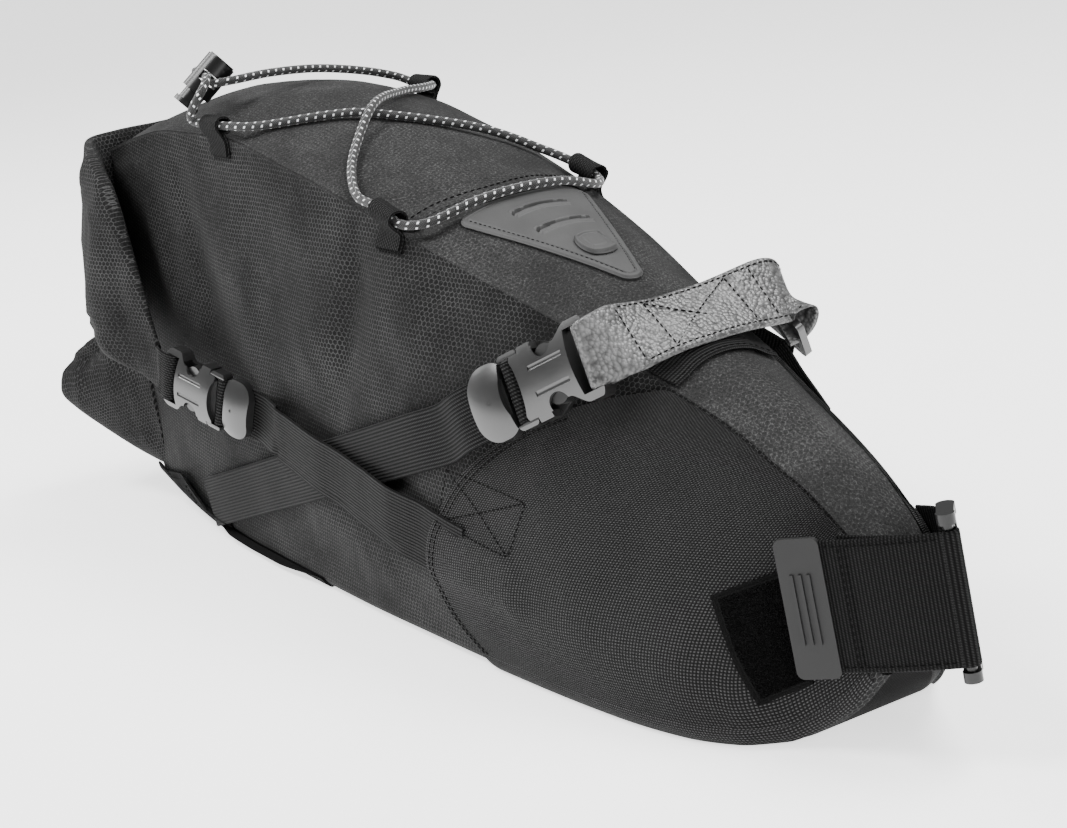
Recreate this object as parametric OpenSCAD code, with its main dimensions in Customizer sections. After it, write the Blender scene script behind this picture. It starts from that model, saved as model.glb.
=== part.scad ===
// Seat pack for a bicycle: a stuffed roll-top bag that hangs behind the saddle.
// +X runs forward to the seatpost end, +Y to the bag's left, +Z up. The flat base is at Z = 0.

/* [Fabric] */
// Thickness of each shell panel
panel_t = 1.2; // [1:0.1:1.4]
// Gap left between layers that lie on each other
layer_gap = 0.4; // [0.35:0.05:0.5]
// Radius of the lower edge of the shell
corner_r = 8; // [6:1:9]

/* [Webbing] */
// Width of the side straps
webbing_w = 25; // [20:1:26]
// Thickness of the side straps
webbing_t = 1.2; // [1:0.1:1.2]
// Width of the seatpost strap
post_strap_w = 50; // [40:1:52]
// Thickness of the seatpost strap
post_strap_t = 2; // [1.4:0.1:2]

/* [Buckles] */
// Overall width of a side release buckle
buckle_w = 31; // [30:0.5:32]
// Size of the roll buckles against the rail buckle
roll_scale = 0.92; // [0.88:0.01:0.94]

/* [Bungee] */
// Diameter of the shock cord
cord_d = 4; // [3:0.25:4.25]
// Diameter of the cord lock's barrel
lock_d = 14.8; // [14:0.2:16]

/* [Rail strap] */
// Width of the strap over the saddle rails
rail_strap_w = 30; // [26:1:31]
// Thickness of the strap over the saddle rails
rail_strap_t = 3; // [2:0.2:3]

/* [Part] */
// Sub-part to draw

/* [Hidden] */

fabric_grey = [0.17, 0.17, 0.18];
cover_grey = [0.14, 0.14, 0.15];
webbing_black = [0.10, 0.10, 0.11];
plastic_black = [0.08, 0.08, 0.09];
rubber_grey = [0.30, 0.30, 0.32];
strap_grey = [0.26, 0.26, 0.27];

// Cross-sections along the bag: x, base height, seam height, crown of the top,
// half width of the base, half width of the seam, bulge of the side
SECTIONS = [
    [-274, 15, 190, 4, 56, 58, 0],
    [-240, 8, 198, 8, 59, 59, 2],
    [-200, 3, 204, 12, 62, 58, 3],
    [-150, 0, 204, 14, 64, 56, 3],
    [-90, 0, 194, 14, 67, 55, 4],
    [-20, 0, 177, 13, 69, 51, 8],
    [40, 0, 159, 13, 69, 44, 13],
    [90, 0, 142, 12, 68, 35, 14],
    [140, 0, 124, 9, 65, 26, 11],
    [175, 0, 110, 8, 59, 20, 7],
    [195, 0, 100, 7, 50, 18.5, 4],
    [208, 1, 93, 6, 38, 17, 3],
    [218, 6, 86, 5, 30, 16, 3],
    [230, 16, 76, 3, 24, 14.5, 2],
    [238, 28, 66, 2, 18, 13, 1],
];
rear_x = SECTIONS[0][0];
nose_x = SECTIONS[len(SECTIONS) - 1][0];
base_rear_x = -150;
base_front_x = 195;

function lerp(a, b, t) = a + (b - a) * t;
function unit(v) = v / norm(v);
function steps(a, b, n) = [for (i = [0:n]) lerp(a, b, i / n)];

// Monotone cubic through the sections, so a flat stretch stays flat
function span(i) = SECTIONS[i + 1][0] - SECTIONS[i][0];
function rise(i, k) = (SECTIONS[i + 1][k] - SECTIONS[i][k]) / span(i);
function tangent(i, k) =
    i == 0 ? rise(0, k)
    : i == len(SECTIONS) - 1 ? rise(i - 1, k)
    : rise(i - 1, k) * rise(i, k) <= 0 ? 0
    : 3 * (span(i - 1) + span(i)) / ((2 * span(i) + span(i - 1)) / rise(i - 1, k)
        + (span(i) + 2 * span(i - 1)) / rise(i, k));
function find_span(x, i = 0) = i >= len(SECTIONS) - 2 || x < SECTIONS[i + 1][0] ? i : find_span(x, i + 1);
function cubic(x, i, k) =
    let (h = span(i), t = (x - SECTIONS[i][0]) / h)
    (1 + 2 * t) * pow(1 - t, 2) * SECTIONS[i][k] + t * pow(1 - t, 2) * h * tangent(i, k)
        + t * t * (3 - 2 * t) * SECTIONS[i + 1][k] + t * t * (t - 1) * h * tangent(i + 1, k);
function section(x) = let (i = find_span(x)) [for (k = [1:6]) cubic(x, i, k)];

// Point of the shell at x. u: 0 base centre, 1 corner start, 2 side start, 3 seam, 4 top centre.
// d is how far inside the outer face the point lies.
function shell_point(x, u, d = 0) =
    let (s = section(x), r = corner_r - d, yb = s[3] - d, ys = s[4] - d, zb = s[0] + d, zs = s[1] - d)
    u <= 1 ? [x, u * (yb - r), zb]
    : u <= 2 ? [x, yb - r + r * sin(90 * (u - 1)), zb + r - r * cos(90 * (u - 1))]
    : u <= 3 ? [x, lerp(yb, ys, u - 2) + s[5] * 4 * (u - 2) * (3 - u), lerp(zb + r, zs, u - 2)]
    : [x, ys * (4 - u), zs + s[2] * (1 - pow(4 - u, 2))];
function side_y(x, z, d = 0) =
    let (s = section(x), z0 = s[0] + corner_r, t = max(0, min(1, (z - z0) / (s[1] - z0))))
    lerp(s[3], s[4], t) + s[5] * 4 * t * (1 - t) - d;
function top_z(x, y, d = 0) = let (s = section(x)) s[1] + s[2] * (1 - pow(y / s[4], 2)) - d;

// Stations shared by the panels, so neighbours meet along the same edge
shell_x = [for (x = [rear_x, -257, -240, -220, -200, -175, base_rear_x, -120, -90, -55, -20, 10, 40, 65, 90,
    115, 140, 158, 175, base_front_x, 202, 208, 213, 218, 224, 230, nose_x]) x];
side_u = concat([1, 1.34, 1.67], steps(2, 3, 7));

// Orientation is settled by the sign of the enclosed volume
function volume(points, faces, i = 0, sum = 0) =
    i == len(faces) ? sum
    : volume(points, faces, i + 1, sum + points[faces[i][0]]
        * cross(points[faces[i][1]], points[faces[i][2]]));
module solid(points, faces) {
    flipped = volume(points, faces) > 0;
    polyhedron(points, flipped ? [for (f = faces) [f[0], f[2], f[1]]] : faces, convexity = 6);
}
function quad(a, b, c, d) = [[a, b, c], [a, c, d]];

// Closed sheet between two grids of the same size
module sheet(outer, inner) {
    n = len(outer);
    m = len(outer[0]);
    half = n * m;
    points = concat([for (row = outer) each row], [for (row = inner) each row]);
    skins = [for (i = [0:n - 2], j = [0:m - 2]) let (a = i * m + j)
        each concat(quad(a, a + m, a + m + 1, a + 1),
            quad(half + a, half + a + 1, half + a + m + 1, half + a + m))];
    ends = [for (j = [0:m - 2]) let (a = j, b = (n - 1) * m + j)
        each concat(quad(a, a + 1, half + a + 1, half + a), quad(b, half + b, half + b + 1, b + 1))];
    sides = [for (i = [0:n - 2]) let (a = i * m, b = i * m + m - 1)
        each concat(quad(a, half + a, half + a + m, a + m), quad(b, b + m, half + b + m, half + b))];
    solid(points, concat(skins, ends, sides));
}

// Closed solid through rings of points, with flat ends
module loft(rings) {
    n = len(rings);
    m = len(rings[0]);
    points = [for (ring = rings) each ring];
    walls = [for (i = [0:n - 2], j = [0:m - 1]) let (a = i * m, k = (j + 1) % m)
        each quad(a + j, a + m + j, a + m + k, a + k)];
    caps = [for (j = [1:m - 2]) each [[0, j, j + 1], [(n - 1) * m, (n - 1) * m + j + 1, (n - 1) * m + j]]];
    solid(points, concat(walls, caps));
}

// Flat strap through stations [centre, width direction], t thick and w wide
module strap(stations, w, t) {
    n = len(stations);
    grids = [for (side = [1, -1]) [for (i = [0:n - 1])
        let (along = stations[min(i + 1, n - 1)][0] - stations[max(i - 1, 0)][0],
            across = unit(stations[i][1]), up = unit(cross(along, across)))
        [for (j = [-1, 0, 1]) stations[i][0] + across * w / 2 * j + up * side * t / 2]]];
    sheet(grids[0], grids[1]);
}

module mirrored(side) {
    mirror([0, side < 0 ? 1 : 0, 0]) children();
}

// Rectangle with round corners, built from circles so its arcs stay true
module round_rect(size, r) {
    for (x = [r, size[0] - r], y = [r - size[1] / 2, size[1] / 2 - r])
        translate([x, y]) circle(r, $fn = 40);
    translate([r, -size[1] / 2]) square([size[0] - 2 * r, size[1]]);
    translate([0, r - size[1] / 2]) square([size[0], size[1] - 2 * r]);
}

// ---- Shell ----

module top_panel() {
    v = steps(-1, 1, 8);
    function grid(d) = [for (x = shell_x) [for (t = v) let (p = shell_point(x, 4 - abs(t), d))
        [p[0], sign(t) * p[1], p[2]]]];
    color(fabric_grey) sheet(grid(0), grid(panel_t));
}

// The rear half of the top ends in an arched hem over the rubber patch
module rear_top_panel() {
    hem_side = 2;
    hem_arch = 16;
    function grid(d) = [for (i = [0:14]) [for (t = steps(-0.96, 0.96, 8))
        let (x = lerp(rear_x + 2, hem_side + hem_arch * (1 - t * t), i / 14), s = section(x))
        [x, t * s[4], top_z(x, t * s[4], d)]]];
    color(fabric_grey) sheet(grid(-layer_gap - 1), grid(-layer_gap));
}

module side_panel(side) {
    function grid(d) = [for (x = shell_x) [for (u = side_u) shell_point(x, u, d)]];
    color(fabric_grey) mirrored(side) sheet(grid(0), grid(panel_t));
}

module bottom_panel() {
    edge = [for (x = shell_x) if (x >= base_rear_x && x <= base_front_x) shell_point(x, 1)];
    outline = concat([for (p = edge) [p[0], p[1]]],
        [for (i = [len(edge) - 1:-1:0]) [edge[i][0], -edge[i][1]]]);
    color(fabric_grey) linear_extrude(panel_t) polygon(outline);
}

// Grid of the base between two stations, from one lower corner to the other
function base_grid(x0, x1, d) = [for (x = shell_x) if (x >= x0 && x <= x1)
    [for (t = [-1, 0, 1]) let (p = shell_point(x, 1, d)) [x, t * p[1], p[2]]]];

module rear_bottom_panel() {
    color(fabric_grey)
        sheet(base_grid(rear_x, base_rear_x, 0), base_grid(rear_x, base_rear_x, panel_t));
}

// Outline of the shell at x as [y, z], once round
function ring_outline(x, d = 0) = let (us = concat([1, 1.34, 1.67], steps(2, 3, 7), [3.25, 3.5, 3.75]))
    concat([for (u = us) let (p = shell_point(x, u, d)) [p[1], p[2]]],
        [let (p = shell_point(x, 4, d)) [0, p[2]]],
        [for (i = [len(us) - 1:-1:0]) let (p = shell_point(x, us[i], d)) [-p[1], p[2]]]);

module cross_plate(x, thickness) {
    translate([x, 0, 0]) rotate([90, 0, 90]) linear_extrude(thickness) polygon(ring_outline(x));
}

module rear_panel() {
    color(fabric_grey) translate([-panel_t, 0, 0]) cross_plate(rear_x, panel_t);
}

module front_gusset() {
    color(cover_grey) {
        sheet(base_grid(base_front_x, nose_x, 0), base_grid(base_front_x, nose_x, panel_t));
        cross_plate(nose_x, panel_t);
    }
}

// Waterproof inner bag, stuffed to fill the shell
module liner() {
    inset = panel_t + 5 * layer_gap;
    stations = [for (i = [0:len(shell_x) - 1])
        i == 0 ? shell_x[i] + layer_gap : i == len(shell_x) - 1 ? shell_x[i] - layer_gap : shell_x[i]];
    color([0.35, 0.36, 0.38])
        loft([for (x = stations) [for (p = ring_outline(x, inset)) [x, p[0], p[1]]]]);
}

// Rear edge of the nose cover, bowed around the compression strap's root
function cover_edge(t) = let (bow = 0.2)
    t > bow ? 31 + 114 * pow((t - bow) / (1 - bow), 1.62) : 31 + 26 * pow((bow - t) / bow, 2);

cover_h = 2.5 * layer_gap;
module nose_cover(side) {
    lower = cover_h;
    upper = cover_h + panel_t;
    function grid(d) = [for (i = [0:18]) [for (u = side_u) if (u > 1.5)
        shell_point(lerp(cover_edge(max(0, u - 2)), nose_x - 1, i / 18), u, d)]];
    color(cover_grey) mirrored(side) sheet(grid(-upper), grid(-lower));
}

// ---- Rear closure ----

// Folded-in fabric that swells out below the rolled mouth
module rear_gusset() {
    gap = 0.5;
    stations = [[rear_x - panel_t - gap, 58, 15, 97], [-298, 67, 24, 96], [-318, 73, 33, 90],
        [-333, 77, 43, 80], [-341, 75, 51, 72]];
    function ring(s) = [for (a = [0:15:345]) let (k = 0.4)
        [s[0], s[1] * sign(cos(a)) * pow(abs(cos(a)), k),
            (s[2] + s[3]) / 2 + (s[3] - s[2]) / 2 * sign(sin(a)) * pow(abs(sin(a)), k)]];
    color(fabric_grey) loft([for (s = stations) ring(s)]);
}

// The rolled mouth hangs over the rear and its two ends are drawn forward along the sides
CLOSURE = [
    [-200, 79, 79, 106, 2.6],
    [-208, 78, 81, 124, 4],
    [-218, 76.6, 84, 152, 7.5],
    [-230, 74.6, 88, 176, 11],
    [-245, 72, 92, 186, 13],
    [-262, 67, 98, 189, 14],
    [-276, 61.5, 100, 190, 12],
    [-278.5, 48, 101, 191, 8],
    [-278.5, 24, 102, 192, 8],
    [-278.5, 0, 102, 193, 8],
];
module roll_closure() {
    half = len(CLOSURE);
    path = concat(CLOSURE, [for (i = [half - 2:-1:0]) let (c = CLOSURE[i]) [c[0], -c[1], c[2], c[3], c[4]]]);
    n = len(path);
    function outward(i) = let (a = path[max(i - 1, 0)], b = path[min(i + 1, n - 1)])
        unit([b[1] - a[1], a[0] - b[0]]);
    function column(i, depth) = let (c = path[i], o = outward(i) * depth)
        [for (k = [0:4]) [c[0] + o[0], c[1] + o[1], lerp(c[2], c[3], k / 4)]];
    color(fabric_grey)
        sheet([for (i = [0:n - 1]) column(i, path[i][4])], [for (i = [0:n - 1]) column(i, 0)]);
}

// Lower cradle that the support strap lifts, cut to a point where the strap leaves it
module support_flap(side) {
    function upper_u(x) = x < -232 ? lerp(2, 2.1, (x + 270) / 38) : lerp(2.1, 1.5, (x + 232) / 46);
    function grid(d) = [for (x = concat(steps(-270, -232, 4), steps(-225, -186, 5)))
        [for (t = steps(0, 1, 5)) shell_point(x, lerp(1.2, upper_u(x), t), d)]];
    color(cover_grey) mirrored(side) sheet(grid(-layer_gap - 1), grid(-layer_gap));
}

// ---- Straps on the sides ----

// Webbing laid on the side from a to b, both [x, z], with its inner face h above the shell
module side_webbing(a, b, h) {
    across = unit([a[1] - b[1], b[0] - a[0]]);
    function grid(d) = [for (t = steps(0, 1, 10)) [for (j = [-1, 0, 1])
        let (p = lerp(a, b, t) + across * webbing_w / 2 * j) [p[0], side_y(p[0], p[1]) + d, p[1]]]];
    sheet(grid(h + webbing_t), grid(h));
}

support_h = cover_h + panel_t + 1.5 * layer_gap;
lower_h = support_h + webbing_t + layer_gap;
upper_h = lower_h + webbing_t + layer_gap;

module support_strap(side) {
    color(webbing_black) mirrored(side) side_webbing([46, 98], [-200, 19], support_h);
}

module compression_strap_lower(side) {
    color(webbing_black) mirrored(side) side_webbing([31, 48], [-112, 72], lower_h);
}

module compression_strap_upper(side) {
    color(webbing_black) mirrored(side) side_webbing([31, 54], [-112, 74], upper_h);
}

// ---- Rubber patch ----

patch_rear = 21;
patch_tip = 84;
patch_front = 91.5;
module rubber_patch() {
    half_w = 34;
    apex = 100;
    corner = 6;
    function width(x) = let (
        taper = half_w * (1 - (min(x, patch_tip) - patch_rear) / (apex - patch_rear)),
        rear = x < patch_rear + corner ? sqrt(1 - pow(1 - (x - patch_rear) / corner, 2)) : 1,
        front = x > patch_tip ? sqrt(max(0, 1 - pow((x - patch_tip) / (patch_front - patch_tip), 2))) : 1)
        max(1, (taper - corner * (1 - rear)) * front);
    xs = concat([patch_rear, patch_rear + 1, patch_rear + 3], steps(patch_rear + corner, patch_tip, 6),
        [patch_tip + 3, patch_tip + 6, patch_front]);
    function grid(h) = [for (x = xs) [for (t = steps(-1, 1, 6)) let (y = t * width(x)) [x, y, top_z(x, y) + h]]];
    color(rubber_grey) sheet(grid(layer_gap + 1.6 + 1), grid(layer_gap + 1.1));
}

module patch_badge() {
    badge = [13, 12];
    x = 60;
    slope = atan((top_z(x, 0) - top_z(x + badge[0], 0)) / badge[0]);
    color(strap_grey) translate([x, 0, top_z(x, 0) + 3.4]) rotate([0, slope, 0]) linear_extrude(1.6)
        round_rect(badge, 4);
}

// ---- Side release buckles, drawn with the male half's rear end at x = 0 ----

mouth_x = 29.4;
prong_pivot = [28.2, 9];
pivot_r = 2.1;
buckle_mid = 4;

// Keeps what lies under a rounded back whose crest runs along X at the height top
module rounded_back(top, r) {
    intersection() {
        children();
        translate([30, 0, top - r]) rotate([0, 90, 0]) cylinder(r = r, h = 120, center = true, $fn = 160);
    }
}

// Lens-shaped opening between the two halves, where the webbing turns round its bar
module buckle_eye() {
    translate([21.8, 0, 4.9]) scale([5.6, 13.2, 1]) cylinder(r = 1, h = 12, $fn = 64);
}

back_top = 9.4;
back_r = 36;
lip_x = 24.9;
lip_z = 6.9;

module buckle_male() {
    plate = [20.6, buckle_w];
    dome_r = 32;
    beam_x = 19;
    beam = [10, buckle_w];
    strap_room = 26.4;
    difference() {
        union() {
            intersection() {
                linear_extrude(9) round_rect(plate, 9);
                translate([10.5, 0, 8.6 - dome_r]) sphere(r = dome_r, $fn = 160);
            }
            rounded_back(back_top, back_r) translate([beam_x, 0, 0])
                linear_extrude(lip_z - 0.3) round_rect(beam, 2);
            translate([beam_x + beam[0] - 3, -2.6, 2.6]) cube([19, 5.2, 2.8]);
        }
        buckle_eye();
        translate([17.2, -strap_room / 2, -1]) cube([2.8, strap_room, 12]);
        translate([23, -strap_room / 2, -1]) cube([2.3, strap_room, 12]);
        translate([-1, -strap_room / 2, -1]) cube([25, strap_room, 2.6]);
        translate([19, -strap_room / 2, 5]) cube([5, strap_room, 6]);
        for (s = [-1, 1]) translate([prong_pivot[0], s * prong_pivot[1], -1])
            cylinder(r = pivot_r + 0.08, h = 12, $fn = 64);
    }
}

module buckle_prong(side) {
    z0 = 1.7;
    h = 4.6;
    translate([0, 0, z0]) linear_extrude(h) {
        translate([prong_pivot[0], side * prong_pivot[1]]) circle(pivot_r, $fn = 64);
        translate([prong_pivot[0], side * prong_pivot[1] - 1.3]) square([12, 2.6]);
        difference() {
            translate([41.5, side * 7.2]) circle(5.1, $fn = 64);
            translate([30, side > 0 ? -1 : -6.6]) square([20, 7.6]);
        }
    }
}

function ease(t) = let (c = max(0, min(1, t))) c * c * (3 - 2 * c);

// Half the width of the female half: full at the mouth, waisted, flared again at the strap
function female_half(x) = buckle_w / 2 - 4.2 * ease((x - 35) / 11) + 5 * ease((x - 47) / 7)
    - 3 * pow(max(0, (lip_x + 3 - x) / 3), 2) - 2.6 * pow(max(0, (x - 60) / 2.6), 2);

module buckle_female() {
    length = 62.6;
    floor = -1.2;
    xs = concat(steps(lip_x, lip_x + 3, 4), steps(33, 60, 27), steps(60.6, length, 4));
    outline = concat([for (x = xs) [x, female_half(x)]],
        [for (i = [len(xs) - 1:-1:0]) [xs[i], -female_half(xs[i])]]);
    difference() {
        rounded_back(back_top, back_r) translate([0, 0, floor])
            linear_extrude(back_top - floor) polygon(outline);
        buckle_eye();
        translate([lip_x - 1, -buckle_w, floor - 1])
            cube([mouth_x - lip_x + 1, 2 * buckle_w, lip_z - floor + 1]);
        translate([mouth_x - 1, -12.6, 1.2]) cube([21.6, 25.2, 5.6]);
        for (s = [-1, 1]) translate([36, s * 12.4 - 4.2, 1.2]) cube([11, 8.4, 5.6]);
        for (s = [-1, 1]) translate([41.5, s * 12.2, 1]) cylinder(r = 4.7, h = 12, $fn = 48);
        translate([53, -13.2, -3]) cube([6, 26.4, 15]);
        translate([53, -13.2, -3]) cube([12, 26.4, 5]);
        translate([53, -13.2, 6]) cube([12, 26.4, 6]);
        for (s = [-1, 1]) translate([mouth_x + 4, s * 5.4, back_top + 0.6]) rotate([0, 90, 0])
            cylinder(r = 1.5, h = 17, $fn = 32);
    }
}

// Webbing that wraps the male half's bar and runs back under its plate
module male_webbing(tail) {
    bar = [[19.9, 1.5], [23.1, 5.1]];
    t = 1.35;
    rotate([90, 0, 0]) linear_extrude(webbing_w, center = true) difference() {
        union() {
            translate([-tail, bar[0][1] - t]) square([tail + bar[1][0] + t, t]);
            translate([bar[0][0] - t, bar[0][1] - t])
                square([bar[1][0] - bar[0][0] + 2 * t, bar[1][1] - bar[0][1] + 2 * t]);
        }
        translate(bar[0]) square(bar[1] - bar[0]);
    }
}

// Webbing that wraps the female half's bar and runs on
module female_webbing(tail) {
    bar = [[58.9, 1.9], [62.7, 6.1]];
    t = 1.5;
    rotate([90, 0, 0]) linear_extrude(webbing_w, center = true) difference() {
        translate([bar[0][0] - t, bar[0][1] - t])
            square([bar[1][0] - bar[0][0] + 2 * t + tail, bar[1][1] - bar[0][1] + 2 * t]);
        translate(bar[0]) square(bar[1] - bar[0]);
        translate([bar[1][0] + t, bar[0][1] + 1]) square([tail + 1, 10]);
    }
}

module at_rail_buckle() {
    translate([72, -68.5, 112]) rotate([75.9, -24.6, 26.1]) translate([0, 0, -buckle_mid]) children();
}

module at_roll_buckle(side) {
    mirrored(-side) translate([-127, -71.5, 77]) rotate([-86.4, -15.4, 193.8]) scale(roll_scale)
        translate([0, 0, -buckle_mid]) children();
}

module rail_buckle_male() { color(plastic_black) at_rail_buckle() buckle_male(); }
module rail_buckle_female() { color(plastic_black) at_rail_buckle() buckle_female(); }
module rail_buckle_prong(side) { color(plastic_black) at_rail_buckle() buckle_prong(side); }
module rail_buckle_webbing() { color(webbing_black) at_rail_buckle() male_webbing(9); }
module roll_buckle_male(side) { color(plastic_black) at_roll_buckle(side) buckle_male(); }
module roll_buckle_female(side) { color(plastic_black) at_roll_buckle(side) buckle_female(); }
module roll_prong(prong, side) { color(plastic_black) at_roll_buckle(side) buckle_prong(prong); }
module roll_webbing(side) { color(webbing_black) at_roll_buckle(side) male_webbing(8); }
module roll_tongue(side) { color(fabric_grey) at_roll_buckle(side) female_webbing(8); }

// ---- Strap over the saddle rails ----

rail_slope = [0.9, 0, -0.42];
module rail_strap_loop() { color(strap_grey) at_rail_buckle() female_webbing(0.5); }

module rail_strap() {
    near_across = [0.55, 0, -0.83];
    stations = [
        [[127.5, -40, 141], near_across],
        [[127.8, -34, 144.5], [0.68, 0, -0.72]],
        [[127.6, -26, 146.6], [0.82, 0, -0.55]],
        [[127, -16, 147.2], rail_slope],
        [[126, 0, 147.6], rail_slope],
        [[125, 16, 147.2], rail_slope],
        [[123.5, 30, 146], rail_slope],
        [[122, 42, 144], rail_slope],
        [[121, 50, 141], rail_slope],
        [[120.5, 53, 137.5], rail_slope],
        [[120.5, 51.5, 134.5], rail_slope],
        [[121, 48.5, 133.6], rail_slope],
    ];
    color(strap_grey) strap(stations, rail_strap_w, rail_strap_t);
}

module at_ladder() {
    translate([121.5, 46.5, 130.5]) rotate([0, 25, 0]) rotate([-60, 0, 0]) children();
}

// Plate with two slots: the strap folds through the upper one, the anchor through the lower one
module rail_ladder_lock() {
    plate = [20, 34];
    thickness = 3;
    slot = [4, 27];
    color(plastic_black) at_ladder() linear_extrude(thickness, center = true) difference() {
        translate([0, -plate[0] / 2]) rotate(90) round_rect(plate, 3);
        for (y = [-6.5, 2.5]) translate([-slot[1] / 2, y]) square([slot[1], slot[0]]);
    }
}

module rail_anchor_webbing() {
    h = cover_h + panel_t + 3 * layer_gap;
    // Height of the strap's middle, and how far it stands off the shell there
    rows = [[120.5, h + 7], [116, h + 2.5], [110, h], [104, h], [96, h], [88, h]];
    function grid(d) = [for (r = rows) [for (j = steps(-1, 1, 4))
        let (x = 118 + (112 - r[0]) * 0.9 + 0.9 * webbing_w / 2 * j, z = r[0] + 0.42 * webbing_w / 2 * j)
        [x, side_y(x, z) + r[1] + d, z]]];
    color(webbing_black) sheet(grid(webbing_t), grid(0));
}

// ---- Seatpost strap ----

ring_bar_r = 2;
sleeve_gap = 0.06;
ring_h = 62;
anchor_bar = [3, -10.5];

module at_ring() { translate([267, -2, 62]) rotate([0, 6, 210.3]) children(); }

module seatpost_ring() {
    link_h = 4;
    link_r = 3.4;
    link_w = 6.2;
    color(plastic_black) at_ring() {
        for (p = [[0, 0], anchor_bar]) translate([p[0], p[1], -ring_h / 2])
            cylinder(r = ring_bar_r, h = ring_h, $fn = 64);
        for (z = [-ring_h / 2, ring_h / 2 - link_h]) translate([0, 0, z]) {
            for (p = [[0, 0], anchor_bar]) translate(p) cylinder(r = link_r, h = link_h, $fn = 64);
            rotate(atan2(anchor_bar[1], anchor_bar[0])) translate([0, -link_w / 2, 0])
                cube([norm(anchor_bar), link_w, link_h]);
        }
    }
}

module seatpost_strap() {
    inner = ring_bar_r + sleeve_gap;
    leg = 60;
    color(webbing_black) at_ring() translate([0, 0, -post_strap_w / 2]) difference() {
        union() {
            cylinder(r = inner + post_strap_t, h = post_strap_w, $fn = 64);
            translate([0, inner, 0]) cube([leg, post_strap_t, post_strap_w]);
        }
        translate([0, 0, -1]) cylinder(r = inner, h = post_strap_w + 2, $fn = 64);
    }
}

module pull_tab() {
    tab = [17, post_strap_w + 3, 1.8];
    inner = ring_bar_r + sleeve_gap + post_strap_t;
    color(rubber_grey) at_ring() translate([45.5, inner, 0]) {
        rotate([-90, 0, 0]) linear_extrude(tab[2]) round_rect([tab[0], tab[1]], 3);
        for (x = [5:3.2:11.4]) translate([x, tab[2] - 0.2, -tab[1] / 4]) cube([1.2, 0.9, tab[1] / 2]);
    }
}

// The strap's sewn end, from the nose to the ring
module seatpost_inner_strap() {
    stations = [
        [[240.4, -15.5, 58.5], [0, 0, 1]],
        [[245, -14.6, 59.5], [0, 0, 1]],
        [[252, -11.4, 60.5], [-0.04, -0.02, 1]],
        [[260, -6.9, 61.5], [-0.09, -0.05, 1]],
    ];
    color(webbing_black) strap(stations, post_strap_w - 2, 1.6);
}

module seatpost_anchor_webbing() {
    function root(x, z) = [x, side_y(x, z) + 4.3, z];
    inner = ring_bar_r + sleeve_gap;
    stations = [
        [(root(229, 38) + root(229, 80)) / 2, root(229, 80) - root(229, 38)],
        [[240, 19, 60], [0, -5, 50]],
        [[251, 13, 61.5], [-3, -4, 50]],
    ];
    color(webbing_black) {
        strap(stations, post_strap_w - 4, 1.6);
        at_ring() translate([anchor_bar[0], anchor_bar[1], -post_strap_w / 2 + 1]) difference() {
            union() {
                cylinder(r = inner + 1.6, h = post_strap_w - 2, $fn = 64);
                rotate(-42) translate([0, -inner - 1.5, 0]) cube([7.4, 1.35, post_strap_w - 2]);
            }
            translate([0, 0, -1]) cylinder(r = inner, h = post_strap_w, $fn = 64);
        }
    }
}

// Hook patch on the near side of the nose, cut on the skew
module hook_patch() {
    corners = [[183, 55], [207, 66], [216, 27], [202, 17]];
    h = cover_h + panel_t + 2 * layer_gap;
    pile_t = 1.2;
    function grid(d) = [for (s = steps(0, 1, 4)) [for (t = steps(0, 1, 5))
        let (p = lerp(lerp(corners[3], corners[2], s), lerp(corners[0], corners[1], s), t))
        [p[0], -side_y(p[0], p[1]) - d, p[1]]]];
    color([0.06, 0.06, 0.06]) sheet(grid(h + pile_t), grid(h));
}

// ---- Bungee ----

loop_w = 15;
loop_inner_r = 3.2;
LOOPS = [[-148, 57, 210.4, 0], [-8, 51.5, 180.2, 15.5]];

module cord_loops() {
    wall = 1.4;
    tail = 4.9;
    color(webbing_black) for (p = LOOPS, side = [-1, 1])
        translate([p[0], side * p[1], p[2]]) rotate([0, p[3], 0]) rotate([0, 90, 0])
            translate([0, 0, -loop_w / 2]) difference() {
                union() {
                    cylinder(r = loop_inner_r + wall, h = loop_w, $fn = 48);
                    translate([0, -wall / 2, 0]) cube([tail, wall, loop_w]);
                }
                translate([0, 0, -1]) cylinder(r = loop_inner_r, h = loop_w + 2, $fn = 48);
            }
}

module at_lock() { translate([-172, -46, 229]) rotate([0, 48.7, 71.3]) children(); }

lock_bore = 5.3;
cord_pitch = 2.4;
slot_w = 2 * cord_pitch + cord_d + 1;
press = 5;

module cord_lock_body() {
    length = 20;
    color(plastic_black) at_lock() difference() {
        translate([0, 0, -9]) cylinder(d = lock_d, h = length, $fn = 72);
        translate([0, 0, -10]) cylinder(r = lock_bore, h = length - 0.4, $fn = 72);
        translate([-slot_w / 2, -lock_d, -cord_d / 2 - 0.6]) cube([slot_w, 2 * lock_d, cord_d + 1.2]);
        translate([0, 0, length - 9.8]) difference() {
            cylinder(d = lock_d + 1, h = 2, $fn = 72);
            translate([0, 0, -1]) cylinder(d = lock_d - 1.6, h = 4, $fn = 72);
        }
    }
}

module cord_lock_plunger() {
    color(plastic_black) at_lock() difference() {
        union() {
            translate([0, 0, -15]) cylinder(r = lock_bore - 0.08, h = 19.4, $fn = 72);
            translate([0, 0, -17]) cylinder(r = lock_bore + 1.1, h = 2.6, $fn = 72);
        }
        translate([-slot_w / 2, -lock_d, -cord_d / 2 - press - 0.6])
            cube([slot_w, 2 * lock_d, cord_d + press + 1.2]);
    }
}

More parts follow.
